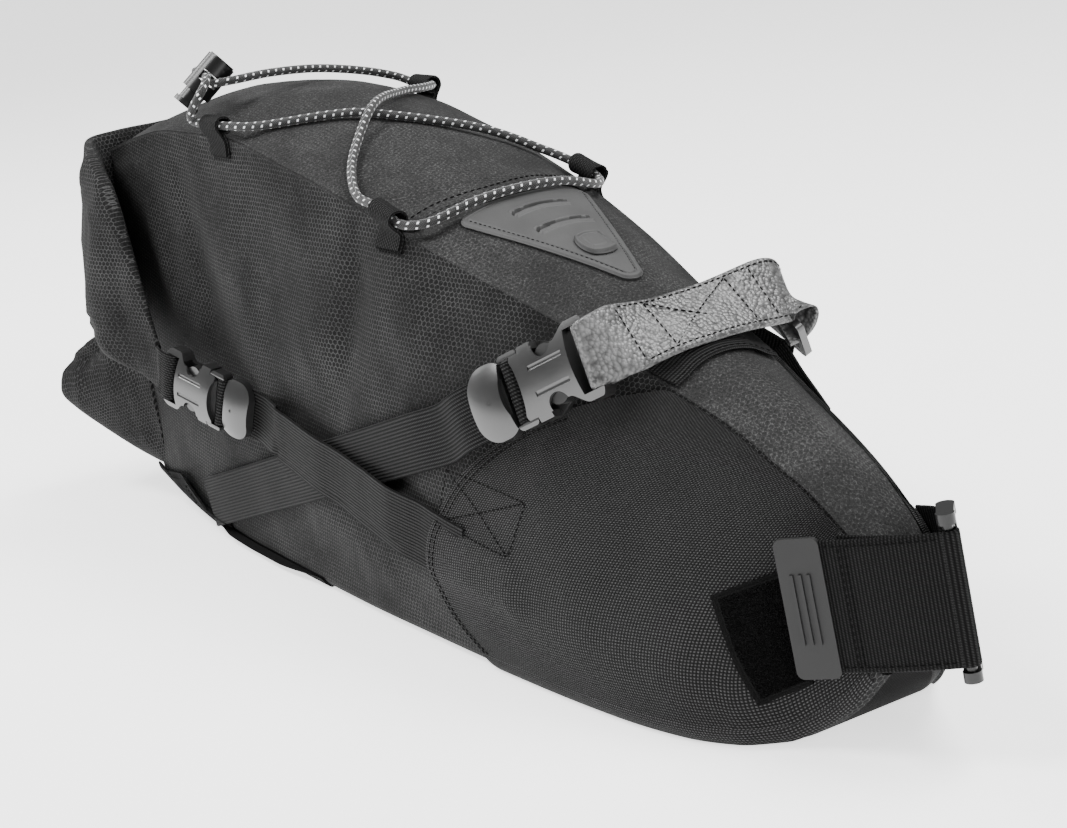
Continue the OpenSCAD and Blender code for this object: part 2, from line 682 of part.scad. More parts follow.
// Route of the shock cord, out of the lock, round the four loops and back into it
ROUTE = [
    [-173.5, -43.4, 227.2],
    [-181, -40.8, 227.4],
    [-189, -38.6, 228.5],
    [-193.5, -40, 230.5],
    [-190.5, -42.8, 231],
    [-182, -45, 230.6],
    [-172, -47.5, 230.8],
    [-162, -51.5, 229.5],
    [-158, -57.5, 224.5],
    [-163, -61, 216.5],
    [-166, -59.5, 211.5],
    [-157, -57.2, 210.3],
    [-148, -57, 210.4],
    [-138, -56, 210.3],
    [-124, -46, 209.5],
    [-100, -22, 211.8],
    [-84, -8, 210.8],
    [-50, 24, 200.8],
    [-28, 43, 188.8],
    [-17, 50.5, 182.8],
    [-8, 51.5, 180.2],
    [1, 51, 177.8],
    [9, 42, 180.2],
    [12.5, 22, 186.4],
    [13.5, 0, 188.5],
    [12.5, -22, 186.4],
    [9, -42, 180.2],
    [1, -51, 177.8],
    [-8, -51.5, 180.2],
    [-17, -51, 182.8],
    [-32, -51.5, 186],
    [-49, -43.5, 194],
    [-65, -30, 203],
    [-83, -9, 215.4],
    [-108, 19, 214.8],
    [-126, 43, 212],
    [-138, 55, 210.6],
    [-148, 57, 210.4],
    [-157, 57, 210.4],
    [-165, 51, 214.4],
    [-167.5, 34, 219.8],
    [-165, 8, 225.2],
    [-161.5, -18, 227.6],
    [-159.5, -38, 227.6],
    [-163.5, -46.4, 227.2],
    [-172.4, -43.8, 227.2],
];

function spline(p, i, t) =
    let (a = p[max(i - 1, 0)], b = p[i], c = p[i + 1], d = p[min(i + 2, len(p) - 1)])
    0.5 * (2 * b + (c - a) * t + (2 * a - 5 * b + 4 * c - d) * t * t + (3 * b - a - 3 * c + d) * t * t * t);

module bungee_cord() {
    line = concat([for (i = [0:len(ROUTE) - 2], t = [0, 0.5]) spline(ROUTE, i, t)], [ROUTE[len(ROUTE) - 1]]);
    n = len(line);
    function ring(i) = let (along = unit(line[min(i + 1, n - 1)] - line[max(i - 1, 0)]),
        side = unit(cross(along, [0.13, 0.09, 1])), up = cross(side, along))
        [for (a = [0:45:315]) line[i] + cord_d / 2 * (side * cos(a) + up * sin(a))];
    color([0.12, 0.12, 0.12]) loft([for (i = [0:n - 1]) ring(i)]);
}

top_panel();
rear_top_panel();
side_panel(-1);  // side_panel_right
side_panel(1);  // side_panel_left
bottom_panel();
rear_bottom_panel();
rear_panel();
front_gusset();
liner();
nose_cover(-1);  // nose_cover_right
nose_cover(1);  // nose_cover_left
rear_gusset();
roll_closure();
support_flap(-1);  // support_flap_right
support_flap(1);  // support_flap_left
rubber_patch();
patch_badge();
support_strap(-1);  // support_strap_right
support_strap(1);  // support_strap_left
compression_strap_lower(-1);  // compression_strap_lower_right
compression_strap_lower(1);  // compression_strap_lower_left
compression_strap_upper(-1);  // compression_strap_upper_right
compression_strap_upper(1);  // compression_strap_upper_left
rail_strap();
rail_strap_loop();
rail_anchor_webbing();
rail_ladder_lock();
rail_buckle_female();
rail_buckle_male();
rail_buckle_prong(1);  // rail_buckle_prong_upper
rail_buckle_prong(-1);  // rail_buckle_prong_lower
rail_buckle_webbing();
roll_buckle_male(-1);  // roll_buckle_male_right
roll_buckle_male(1);  // roll_buckle_male_left
roll_buckle_female(-1);  // roll_buckle_female_right
roll_buckle_female(1);  // roll_buckle_female_left
roll_prong(-1, -1);  // roll_prong_upper_right
roll_prong(1, -1);  // roll_prong_lower_right
roll_prong(-1, 1);  // roll_prong_upper_left
roll_prong(1, 1);  // roll_prong_lower_left
roll_webbing(-1);  // roll_webbing_right
roll_webbing(1);  // roll_webbing_left
roll_tongue(-1);  // roll_tongue_right
roll_tongue(1);  // roll_tongue_left
seatpost_inner_strap();
seatpost_anchor_webbing();
seatpost_ring();
seatpost_strap();
pull_tab();
hook_patch();
cord_loops();
bungee_cord();
cord_lock_body();
cord_lock_plunger();
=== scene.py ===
"""Looks of the seat pack: stuffed fabric shell, straps, buckles, rubber trim and laced bungee.

Lengths are in millimetres in the script and become metres when a mesh is made.
+X runs forward to the nose, +Y to the bag's left, +Z up, as in the CAD frame.
"""

import math

import bpy
import numpy as np
from mathutils import Euler, Matrix, Vector


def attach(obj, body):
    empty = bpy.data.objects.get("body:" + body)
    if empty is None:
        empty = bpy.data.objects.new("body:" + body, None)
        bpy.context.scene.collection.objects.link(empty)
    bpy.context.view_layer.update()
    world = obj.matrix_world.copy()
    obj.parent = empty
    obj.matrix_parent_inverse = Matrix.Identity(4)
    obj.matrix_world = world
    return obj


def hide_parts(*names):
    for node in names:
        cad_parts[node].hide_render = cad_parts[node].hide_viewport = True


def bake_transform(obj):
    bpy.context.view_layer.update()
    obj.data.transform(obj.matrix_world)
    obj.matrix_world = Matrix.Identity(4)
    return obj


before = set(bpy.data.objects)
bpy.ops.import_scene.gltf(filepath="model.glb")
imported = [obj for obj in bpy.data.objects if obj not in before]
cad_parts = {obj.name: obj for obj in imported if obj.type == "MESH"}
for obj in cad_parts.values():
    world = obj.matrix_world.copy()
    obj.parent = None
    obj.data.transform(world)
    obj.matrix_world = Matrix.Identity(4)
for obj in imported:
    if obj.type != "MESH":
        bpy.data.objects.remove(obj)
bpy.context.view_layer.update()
MM = 0.001

# ---- camera

CAMERA_AZIMUTH = 57.62
CAMERA_ELEVATION = 15.57
CAMERA_ROLL = -6.64
CAMERA_TARGET = np.array([8.27, -1.79, 83.75])
CAMERA_DISTANCE = 996.9
LENS = 77.65


def camera_axes():
    """Right, up and back vectors of the picture's viewpoint."""
    az, el, roll = (math.radians(v) for v in (CAMERA_AZIMUTH, CAMERA_ELEVATION, CAMERA_ROLL))
    back = np.array([math.sin(az) * math.cos(el), -math.cos(az) * math.cos(el), math.sin(el)])
    right = np.array([math.cos(az), math.sin(az), 0.0])
    up = np.cross(back, right)
    return (right * math.cos(roll) + up * math.sin(roll),
            up * math.cos(roll) - right * math.sin(roll), back)


def make_camera():
    right, up, back = camera_axes()
    data = bpy.data.cameras.new("camera")
    data.lens = LENS
    data.sensor_width = 36
    data.clip_start = 0.05
    data.clip_end = 20
    camera = bpy.data.objects.new("camera", data)
    bpy.context.scene.collection.objects.link(camera)
    spot = (CAMERA_TARGET + back * CAMERA_DISTANCE) * MM
    rotation = Matrix([list(row) for row in np.array([right, up, back]).T])
    camera.matrix_world = Matrix.Translation(Vector(spot)) @ rotation.to_4x4()
    bpy.context.scene.camera = camera


make_camera()

# ---- shell surface

# Cross-sections along the bag: x, base height, seam height, crown of the top,
# half width of the base, half width of the seam, bulge of the side
SECTIONS = np.array([
    [-274, 15, 190, 4, 56, 58, 0],
    [-240, 8, 198, 8, 59, 59, 2],
    [-200, 3, 204, 12, 62, 58, 3],
    [-150, 0, 204, 14, 64, 56, 3],
    [-90, 0, 194, 14, 67, 55, 4],
    [-20, 0, 177, 13, 69, 51, 8],
    [40, 0, 159, 13, 69, 44, 13],
    [90, 0, 142, 12, 68, 35, 14],
    [140, 0, 124, 9, 65, 26, 11],
    [175, 0, 110, 8, 59, 20, 7],
    [195, 0, 100, 7, 50, 18.5, 4],
    [208, 1, 93, 6, 38, 17, 3],
    [218, 6, 86, 5, 30, 16, 3],
    [230, 16, 76, 3, 24, 14.5, 2],
    [238, 28, 66, 2, 18, 13, 1],
], dtype=float)
REAR_X, NOSE_X = SECTIONS[0, 0], SECTIONS[-1, 0]
CORNER_R = 8.0
STATION_X = SECTIONS[:, 0]
SPANS = np.diff(STATION_X)
RISES = np.diff(SECTIONS[:, 1:], axis=0) / SPANS[:, None]


def station_tangents():
    """Slopes of the monotone cubic, so that a flat stretch stays flat."""
    slopes = np.zeros((len(SECTIONS), 6))
    slopes[0], slopes[-1] = RISES[0], RISES[-1]
    for i in range(1, len(SECTIONS) - 1):
        h0, h1, d0, d1 = SPANS[i - 1], SPANS[i], RISES[i - 1], RISES[i]
        same = d0 * d1 > 0
        d0s, d1s = np.where(same, d0, 1.0), np.where(same, d1, 1.0)
        mean = 3 * (h0 + h1) / ((2 * h1 + h0) / d0s + (h1 + 2 * h0) / d1s)
        slopes[i] = np.where(same, mean, 0.0)
    return slopes


TANGENTS = station_tangents()


def section(x):
    """Base height, seam height, crown, base half width, seam half width and bulge at each x."""
    x = np.asarray(x, dtype=float)
    i = np.clip(np.searchsorted(STATION_X, x, side="right") - 1, 0, len(SPANS) - 1)
    h = SPANS[i]
    t = (x - STATION_X[i]) / h
    a, b = SECTIONS[i, 1:], SECTIONS[i + 1, 1:]
    t, h = t[..., None], h[..., None]
    value = ((1 + 2 * t) * (1 - t) ** 2 * a + t * (1 - t) ** 2 * h * TANGENTS[i]
             + t * t * (3 - 2 * t) * b + t * t * (t - 1) * h * TANGENTS[i + 1])
    return np.moveaxis(value, -1, 0)


def smooth(a, b, v):
    t = np.clip((v - a) / (b - a), 0, 1)
    return t * t * (3 - 2 * t)


def lerp(a, b, t):
    return a + (b - a) * t


def unit(v):
    return v / np.maximum(np.linalg.norm(v, axis=-1, keepdims=True), 1e-9)


def fold(x, z, start, end, width, depth, skew=0.0):
    """A soft ridge (depth > 0) or valley along a line on the side, fading at its ends."""
    ax, az = start
    dx, dz = end[0] - ax, end[1] - az
    length = math.hypot(dx, dz)
    along = ((x - ax) * dx + (z - az) * dz) / length ** 2
    off = ((x - ax) * -dz + (z - az) * dx) / length
    off = off / np.where(off > 0, width * (1 + skew), width * (1 - skew))
    fade = smooth(-0.15, 0.25, along) * (1 - smooth(0.75, 1.15, along))
    return depth * np.exp(-off * off) * fade


def ripple(x, y, scale, seed):
    """Cheap smooth noise for the unevenness of stuffed cloth."""
    k = 2 * math.pi / scale
    return (np.sin(k * x + 1.7 * seed + 1.3 * np.sin(0.7 * k * y + seed))
            * np.cos(0.8 * k * y + 0.9 * seed + 1.1 * np.sin(0.6 * k * x - seed)))


# Folds of each side as start, end, width, depth and any skew, each point being (x, z)
SIDE_FOLDS = {
    -1: [((-30, 168), (-44, 112), 11, -4.2, 0.3), ((-62, 172), (-70, 90), 22, 2.6),
         ((-6, 166), (26, 120), 16, 2.6), ((18, 158), (60, 128), 9, -2.4, 0.2),
         ((-150, 190), (-128, 90), 20, 2.4), ((-196, 186), (-170, 108), 10, -2.6, 0.3),
         ((-110, 84), (-20, 110), 12, -2.2), ((-40, 98), (36, 112), 9, 1.8),
         ((-180, 60), (-120, 52), 10, 2.2, 0.2), ((-90, 46), (0, 24), 12, 2.0),
         ((-60, 62), (10, 74), 10, -2.0, 0.1), ((-232, 170), (-205, 110), 9, 2.4)],
    1: [((-20, 166), (-50, 110), 12, -3.8, -0.2), ((-80, 176), (-86, 96), 20, 2.6),
        ((10, 160), (40, 116), 15, 2.4), ((-160, 190), (-134, 96), 18, 2.2),
        ((-200, 184), (-176, 104), 10, -2.6, 0.2), ((-100, 80), (-10, 112), 13, -2.0),
        ((-176, 58), (-116, 50), 10, 2.2), ((-84, 44), (10, 26), 12, 1.8)],
}


def side_swell(x, z, side):
    """How far folds and stuffing push the side out from the plain section."""
    s = section(x)
    t = np.clip((z - s[0]) / (s[1] - s[0]), 0, 1)
    calm_nose = 1 - 0.75 * smooth(20, 90, x)
    swell = sum(fold(x, z, *f) for f in SIDE_FOLDS[side])
    swell = swell + 0.6 * ripple(x, z, 120, 2 + side) + 0.16 * ripple(x + 11, z, 37, 5 - side)
    swell = swell * smooth(0.0, 0.16, t) * (1 - smooth(0.93, 1.0, t)) * calm_nose
    seam_dip = -0.9 * np.exp(-((1 - t) * (s[1] - s[0]) / 5.0 - 1.3) ** 2)
    return swell + seam_dip * (1 - smooth(200, 235, x))


def side_y(x, z):
    s = section(x)
    z0 = s[0] + CORNER_R
    t = np.clip((z - z0) / (s[1] - z0), 0, 1)
    return lerp(s[3], s[4], t) + s[5] * 4 * t * (1 - t)


def side_point(x, z, side, lift=0.0):
    """Point on the folded side at height lift above the cloth."""
    x, z = np.broadcast_arrays(np.asarray(x, float), np.asarray(z, float))
    step = 0.5
    y = side_y(x, z)
    slope_x, slope_z = (side_y(x + step, z) - y) / step, (side_y(x, z + step) - y) / step
    normal = unit(np.stack([-slope_x, np.ones_like(y), -slope_z], -1))
    point = np.stack([x, y, z], -1) + normal * (side_swell(x, z, side) + lift)[..., None]
    point[..., 1] *= side
    return point


def top_swell(x, y):
    s = section(x)
    t = np.clip(np.abs(y) / s[4], 0, 1)
    swell = 0.6 * ripple(x, y, 90, 3) + 0.15 * ripple(x, y - 9, 31, 8)
    for px, py, w in ((-8, 48, 16), (-8, -48, 16), (-146, 52, 18), (-146, -52, 18)):
        swell = swell - 2.2 * np.exp(-((x - px) ** 2 + (y - py) ** 2) / w ** 2)
    fade = (1 - smooth(0.86, 1.0, t)) * (1 - 0.8 * smooth(10, 40, x))
    edge = -0.8 * np.exp(-((1 - t) * s[4] / 5.0 - 1.3) ** 2)
    return swell * fade + edge * (1 - smooth(190, 230, x))


def top_point(x, y, lift=0.0):
    x, y = np.broadcast_arrays(np.asarray(x, float), np.asarray(y, float))
    s = section(x)
    z = s[1] + s[2] * (1 - (y / s[4]) ** 2) + top_swell(x, y) + lift
    return np.stack([x, y, z], -1)


def corner_point(x, u, side, d=0.0):
    """Point of the base (u from 0 to 1) or of the lower corner (u from 1 to 2), d mm inside."""
    x, u = np.broadcast_arrays(np.asarray(x, float), np.asarray(u, float))
    s = section(x)
    r, yb, zb = CORNER_R - d, s[3] - d, s[0] + d
    a = np.radians(90 * np.clip(u - 1, 0, 1))
    y = np.where(u < 1, u * (yb - r), yb - r + r * np.sin(a))
    z = np.where(u < 1, zb, zb + r - r * np.cos(a))
    return np.stack([x, side * y, z], -1)


# ---- meshes

SHARP_EDGE = math.radians(55)


def make_object(name, points, faces, uvs):
    """Object from points in mm, with one uv per point."""
    mesh = bpy.data.meshes.new(name)
    mesh.from_pydata([tuple(p * MM) for p in np.asarray(points, float)], [], faces)
    layer = mesh.uv_layers.new(name="UVMap")
    corners = np.empty(len(mesh.loops), dtype=int)
    mesh.loops.foreach_get("vertex_index", corners)
    layer.data.foreach_set("uv", (np.asarray(uvs, float) * MM)[corners].ravel())
    mesh.validate()
    mesh.update()
    made = bpy.data.objects.new(name, mesh)
    bpy.context.scene.collection.objects.link(made)
    mesh.polygons.foreach_set("use_smooth", [True] * len(mesh.polygons))
    mesh.set_sharp_from_angle(angle=SHARP_EDGE)
    return made


def finish_piece(made, body, look, slot, *nodes):
    """Gives a piece its material and its body, and hides the CAD nodes that it replaces. The slot
    argument is not used.
    """
    made.data.materials.append(MATERIALS[look])
    if body:
        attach(made, body)
    if nodes:
        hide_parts(*nodes)
    return made


def arc_uv(grid):
    """Arc length along both directions of a grid, in mm."""
    du = np.linalg.norm(np.diff(grid, axis=0), axis=-1)
    dv = np.linalg.norm(np.diff(grid, axis=1), axis=-1)
    u = np.vstack([np.zeros(grid.shape[1]), np.cumsum(du, axis=0)])
    v = np.hstack([np.zeros((grid.shape[0], 1)), np.cumsum(dv, axis=1)])
    u = np.repeat(u.mean(axis=1)[:, None], grid.shape[1], axis=1)
    return np.stack([u, v], -1)


def grid_normals(grid):
    return unit(np.cross(np.gradient(grid, axis=0), np.gradient(grid, axis=1)))


def sheet(name, grid, thickness, outward):
    """Closed sheet below a grid of outer points. outward is a vector on the outer side.

    Its uv is the arc length measured along the grid.
    """
    n, m = grid.shape[:2]
    normals = grid_normals(grid)
    if (normals * outward).sum() < 0:
        grid = grid[:, ::-1]
        normals = grid_normals(grid)
    uv = arc_uv(grid)
    inner = grid - normals * thickness
    points = np.vstack([grid.reshape(-1, 3), inner.reshape(-1, 3)])
    index = np.arange(n * m).reshape(n, m)
    faces = []
    for layer, flip in ((index, False), (index + n * m, True)):
        quads = np.stack([layer[:-1, :-1], layer[1:, :-1], layer[1:, 1:], layer[:-1, 1:]], -1)
        quads = quads.reshape(-1, 4)
        faces += (quads[:, ::-1] if flip else quads).tolist()
    rim = np.concatenate([index[:, 0], index[-1, 1:], index[-2::-1, -1], index[0, -2:0:-1]])
    following = np.roll(rim, -1)
    faces += np.stack([following, rim, rim + n * m, following + n * m], -1).tolist()
    made = make_object(name, points, faces, np.vstack([uv.reshape(-1, 2)] * 2))
    return made


def loft(name, rings, uvs):
    """Solid through closed rings of points, capped at both ends and facing outwards."""
    rings = np.asarray(rings)
    n, m = rings.shape[:2]
    index = np.arange(n * m).reshape(n, m)
    following = np.roll(index, -1, axis=1)
    quads = np.stack([index[:-1], following[:-1], following[1:], index[1:]], -1)
    faces = quads.reshape(-1, 4).tolist() + [index[0][::-1].tolist(), index[-1].tolist()]
    made = make_object(name, rings.reshape(-1, 3), faces, np.asarray(uvs).reshape(-1, 2))
    if mesh_volume(made) < 0:
        made.data.flip_normals()
    return made


def mesh_volume(made):
    """Six times the volume that the faces enclose, negative if they face inwards."""
    total = 0.0
    verts = made.data.vertices
    for poly in made.data.polygons:
        a = verts[poly.vertices[0]].co
        for i in range(1, len(poly.vertices) - 1):
            b, c = verts[poly.vertices[i]].co, verts[poly.vertices[i + 1]].co
            total += a.dot(b.cross(c))
    return total


def run_length(path):
    """Distance along a path at each of its points."""
    return np.concatenate([[0], np.cumsum(np.linalg.norm(np.diff(path, axis=0), axis=1))])


def spline(points, per_span=8):
    """Points of a smooth curve through given points."""
    p = np.asarray(points, float)
    padded = np.vstack([2 * p[0] - p[1], p, 2 * p[-1] - p[-2]])
    out = []
    for i in range(len(p) - 1):
        a, b, c, d = padded[i:i + 4]
        for t in np.arange(per_span) / per_span:
            m0, m1 = 0.5 * (c - a), 0.5 * (d - b)
            out.append((2 * t ** 3 - 3 * t ** 2 + 1) * b + (t ** 3 - 2 * t ** 2 + t) * m0
                       + (3 * t ** 2 - 2 * t ** 3) * c + (t ** 3 - t ** 2) * m1)
    out.append(p[-1])
    return np.array(out)


def band_profile(width, thickness, columns=10):
    """Closed outline of a webbing's section with soft edges, as (across, up)."""
    half, r = width / 2, thickness / 2
    across = np.linspace(-half + r, half - r, columns)
    edge = np.linspace(0.5, math.pi - 0.5, 3)
    top = [(a, r) for a in across]
    right = [(half - r + r * math.sin(a), r * math.cos(a)) for a in edge]
    bottom = [(a, -r) for a in across[::-1]]
    left = [(-half + r - r * math.sin(a), -r * math.cos(a)) for a in edge]
    return np.array(top + right + bottom + left)


def round_profile(radius, sides=16):
    a = np.linspace(0, 2 * math.pi, sides, endpoint=False)
    return np.stack([radius * np.cos(a), radius * np.sin(a)], -1)


def sweep(name, path, across, profile, scale=None):
    """Solid swept along a path.

    across gives the width direction at each point, and u of the uv runs along the path.
    """
    path = np.asarray(path, float)
    along = unit(np.gradient(path, axis=0))
    across = np.broadcast_to(np.asarray(across, float), path.shape)
    across = unit(across - along * (across * along).sum(-1, keepdims=True))
    up = np.cross(along, across)
    scale = np.ones((len(path), 2)) if scale is None else np.asarray(scale, float)
    rings = (path[:, None] + across[:, None] * (profile[None, :, 0] * scale[:, :1])[..., None]
             + up[:, None] * (profile[None, :, 1] * scale[:, 1:])[..., None])
    edge = np.linalg.norm(np.roll(profile, -1, axis=0) - profile, axis=1)
    around = np.concatenate([[0], np.cumsum(edge)[:-1]])
    uv = np.stack(np.broadcast_arrays(run_length(path)[:, None], around[None, :]), -1)
    return loft(name, rings, uv)


def resample(path, pitch):
    """Evenly spaced points along a path."""
    path = np.asarray(path, float)
    length = run_length(path)
    at = np.arange(pitch / 2, length[-1], pitch)
    return np.stack([np.interp(at, length, path[:, k]) for k in range(3)], -1)


STITCH_SHAPE = ((-0.5, 0.25), (-0.3, 0.95), (0.0, 1.1), (0.3, 0.95), (0.5, 0.25))
STITCH_SIDES = 6


def stitches(name, paths, normal, body, pitch=3.1, length=2.1, radius=0.27):
    """Rows of thread, each stitch a small spindle lying on the cloth under normal."""
    points, faces = [], []
    up = unit(np.asarray(normal, float))
    ring = range(STITCH_SIDES)
    for path in paths:
        centres = resample(path, pitch)
        if len(centres) < 2:
            continue
        for centre, along in zip(centres, unit(np.gradient(centres, axis=0))):
            side = unit(np.cross(along, up))
            base = len(points)
            for s, r in STITCH_SHAPE:
                for k in ring:
                    w = math.radians(360 // STITCH_SIDES * k)
                    out = side * math.cos(w) + up * math.sin(w)
                    points.append(centre + along * s * length + out * r * radius)
            for i in range(len(STITCH_SHAPE) - 1):
                row = base + i * STITCH_SIDES
                for k in ring:
                    p, q = row + k, row + (k + 1) % STITCH_SIDES
                    faces.append((p, q, q + STITCH_SIDES, p + STITCH_SIDES))
            last = base + (len(STITCH_SHAPE) - 1) * STITCH_SIDES
            faces.append(tuple(base + k for k in reversed(ring)))
            faces.append(tuple(last + k for k in ring))
    made = make_object(name, points, faces, np.zeros((len(points), 2)))
    finish_piece(made, body, "thread", "webbing")


CLOTH_T = 1.1
WEB_W, WEB_T = 25.0, 1.3


def skin(name, grid, outward, look, slot, *nodes, rests_on="liner", thickness=CLOTH_T):
    """Sheet on the bag's body. The rests_on argument is not used."""
    made = sheet(name, grid, thickness, outward)
    finish_piece(made, "bag", look, slot, *nodes)


def webbing(name, path, across, look, *nodes, body="bag", size=(WEB_W, WEB_T), columns=10):
    """Flat webbing of size = (width, thickness) along a path."""
    made = sweep(name, path, across, band_profile(*size, columns))
    return finish_piece(made, body, look, "webbing", *nodes)


# ---- materials


class Shader:
    """Small helper that adds and links nodes of one material."""

    def __init__(self, name, roughness, sheen=0.0, specular=0.4):
        self.material = bpy.data.materials.new(name)
        self.material.use_nodes = True
        self.tree = self.material.node_tree
        self.shader = self.tree.nodes["Principled BSDF"]
        for socket, value in (("Roughness", roughness), ("Specular IOR Level", specular),
                              ("Sheen Weight", sheen), ("Sheen Roughness", 0.5)):
            self.shader.inputs[socket].default_value = value
        self.coords = self.tree.nodes.new("ShaderNodeTexCoord")

    def node(self, kind, **settings):
        made = self.tree.nodes.new(kind)
        for key, value in settings.items():
            setattr(made, key, value)
        return made

    def link(self, a, b):
        self.tree.links.new(a, b)

    def feed(self, socket, value):
        if isinstance(value, (int, float, tuple, list)):
            socket.default_value = value
        else:
            self.link(value, socket)

    def math(self, operation, a, b=0.0, c=None, clamp=False):
        made = self.node("ShaderNodeMath", operation=operation, use_clamp=clamp)
        for socket, value in zip(made.inputs, (a, b) if c is None else (a, b, c)):
            self.feed(socket, value)
        return made.outputs[0]

    def add(self, a, b):
        return self.math("ADD", a, b)

    def times(self, a, b):
        return self.math("MULTIPLY", a, b)

    def scaled(self, value, factor, offset, clamp=False):
        return self.math("MULTIPLY_ADD", value, factor, offset, clamp)

    def cloth_axes(self):
        """The cloth's own two coordinates, in metres."""
        made = self.node("ShaderNodeSeparateXYZ")
        self.link(self.coords.outputs["UV"], made.inputs[0])
        return made.outputs[0], made.outputs[1]

    def wave(self, coordinate, pitch):
        """0 to 1 sine along a coordinate in metres, pitch in mm."""
        turned = self.times(coordinate, 2 * math.pi / (pitch * MM))
        return self.scaled(self.math("SINE", turned), 0.5, 0.5)

    def texture(self, kind, output, **inputs):
        """Texture in the object's own coordinates."""
        made = self.node(kind)
        for socket, value in inputs.items():
            made.inputs[socket].default_value = value
        self.link(self.coords.outputs["Object"], made.inputs["Vector"])
        return made.outputs[output]

    def noise(self, scale, detail, roughness=0.55):
        return self.texture("ShaderNodeTexNoise", "Fac", Scale=scale, Detail=detail,
                            Roughness=roughness)

    def cells(self, scale):
        return self.texture("ShaderNodeTexVoronoi", "Distance", Scale=scale)

    def ramp(self, factor, stops):
        made = self.node("ShaderNodeValToRGB")
        while len(made.color_ramp.elements) < len(stops):
            made.color_ramp.elements.new(0.5)
        for element, (position, shade) in zip(made.color_ramp.elements, stops):
            element.position = position
            element.color = (*((shade,) * 3 if isinstance(shade, float) else shade), 1)
        self.feed(made.inputs["Fac"], factor)
        return made.outputs["Color"]

    def colour(self, factor, stops):
        self.link(self.ramp(factor, stops), self.shader.inputs["Base Color"])

    def roughness(self, factor, low, high):
        self.link(self.scaled(factor, high - low, low), self.shader.inputs["Roughness"])

    def bump(self, *layers):
        """Stacks bump layers of (height, distance in mm, strength)."""
        normal = None
        for height, distance, strength in layers:
            made = self.node("ShaderNodeBump")
            made.inputs["Strength"].default_value = strength
            made.inputs["Distance"].default_value = distance * MM
            self.link(height, made.inputs["Height"])
            if normal is not None:
                self.link(normal, made.inputs["Normal"])
            normal = made.outputs["Normal"]
        self.link(normal, self.shader.inputs["Normal"])

    def hexagons(self, pitch):
        """1 on the lines of a hexagon grid and 0 inside its cells."""
        u, v = self.cloth_axes()
        width, height = pitch * MM, pitch * MM * math.sqrt(3)
        cells = []
        for shift in (0.0, 0.5):
            parts = []
            for coordinate, size in ((u, width), (v, height)):
                repeated = self.math("FRACT", self.scaled(coordinate, 1 / size, shift + 100))
                centred = self.math("SUBTRACT", repeated, 0.5)
                parts.append(self.math("ABSOLUTE", self.times(centred, size / width)))
            slanted = self.add(self.times(parts[0], 0.5), self.times(parts[1], math.sqrt(3) / 2))
            cells.append(self.math("MAXIMUM", parts[0], slanted))
        distance = self.math("MINIMUM", cells[0], cells[1])
        return self.math("SMOOTH_MAX", 0.0, self.scaled(distance, 9.0, -3.5, clamp=True), 0.05)


def ripstop_material(name, shade, line):
    """Fine twill with a hexagon ripstop grid."""
    s = Shader(name, 0.75, specular=0.08)
    u, v = s.cloth_axes()
    hexes = s.hexagons(2.3)
    diagonal = s.wave(s.add(u, v), 0.75)
    fine = s.noise(950, 2, roughness=0.8)
    mixed = s.add(s.scaled(s.noise(34, 4), 0.2, 0.1), s.times(fine, 0.50))
    mixed = s.add(mixed, s.times(s.times(hexes, s.noise(32, 2)), line))
    mixed = s.add(mixed, s.times(diagonal, 0.06))
    s.colour(mixed, [(0.28, shade * 0.05), (0.52, shade * 0.85), (0.9, shade * 6.5)])
    s.roughness(fine, 0.68, 0.86)
    s.bump((diagonal, 0.12, 0.4), (hexes, 0.22, 0.5), (fine, 0.1, 0.5),
           (s.noise(120, 3), 0.6, 0.25))
    return s.material


def twill_material(name, shade):
    """Plain fine weave with the threads' diagonal showing."""
    s = Shader(name, 0.8, specular=0.04)
    u, v = s.cloth_axes()
    weave = s.times(s.wave(u, 1.0), s.wave(s.add(v, s.times(u, 0.5)), 0.9))
    mixed = s.add(s.times(weave, 0.4), s.times(s.noise(1300, 2), 0.5))
    s.colour(mixed, [(0.1, shade * 0.25), (0.45, shade), (0.85, shade * 3.0)])
    s.bump((weave, 0.3, 0.65), (s.noise(120, 3), 0.5, 0.15))
    return s.material


def cordura_material(name, shade):
    """Coarse basket weave whose raised threads catch the light."""
    s = Shader(name, 0.7, specular=0.12)
    u, v = s.cloth_axes()
    pitch = 1.25
    threads = s.times(*(s.math("POWER", s.wave(axis, pitch), 0.7) for axis in (u, v)))
    knots = s.times(threads, s.scaled(s.wave(s.add(u, v), pitch), 0.5, 0.5))
    speck = s.noise(1100, 2)
    mixed = s.times(knots, s.scaled(speck, 1.3, 0.35))
    mixed = s.add(mixed, s.times(s.noise(40, 3), 0.12))
    s.colour(mixed, [(0.04, shade * 0.12), (0.32, shade * 0.85), (0.75, shade * 5.5)])
    s.roughness(speck, 0.6, 0.8)
    s.bump((knots, 0.7, 0.95), (s.noise(90, 3), 0.5, 0.15))
    return s.material


def webbing_material(name, shade, rib, cross, lengthwise=True):
    """Ribs along the webbing, or across it, with a fine thread on them."""
    s = Shader(name, 0.66, specular=0.07)
    u, v = s.cloth_axes() if lengthwise else reversed(s.cloth_axes())
    ribs = s.math("POWER", s.wave(v, rib), 0.6)
    threads = s.wave(s.add(u, s.times(v, 0.6)), cross)
    fine = s.noise(1400, 2)
    raised = s.times(ribs, s.scaled(threads, 0.4, 0.6))
    mixed = s.times(raised, s.scaled(fine, 0.9, 0.5))
    s.colour(mixed, [(0.08, shade * 0.06), (0.5, shade * 0.8), (1.0, shade * 4.2)])
    s.roughness(fine, 0.55, 0.8)
    s.bump((raised, 0.42, 0.8), (fine, 0.08, 0.3))
    return s.material


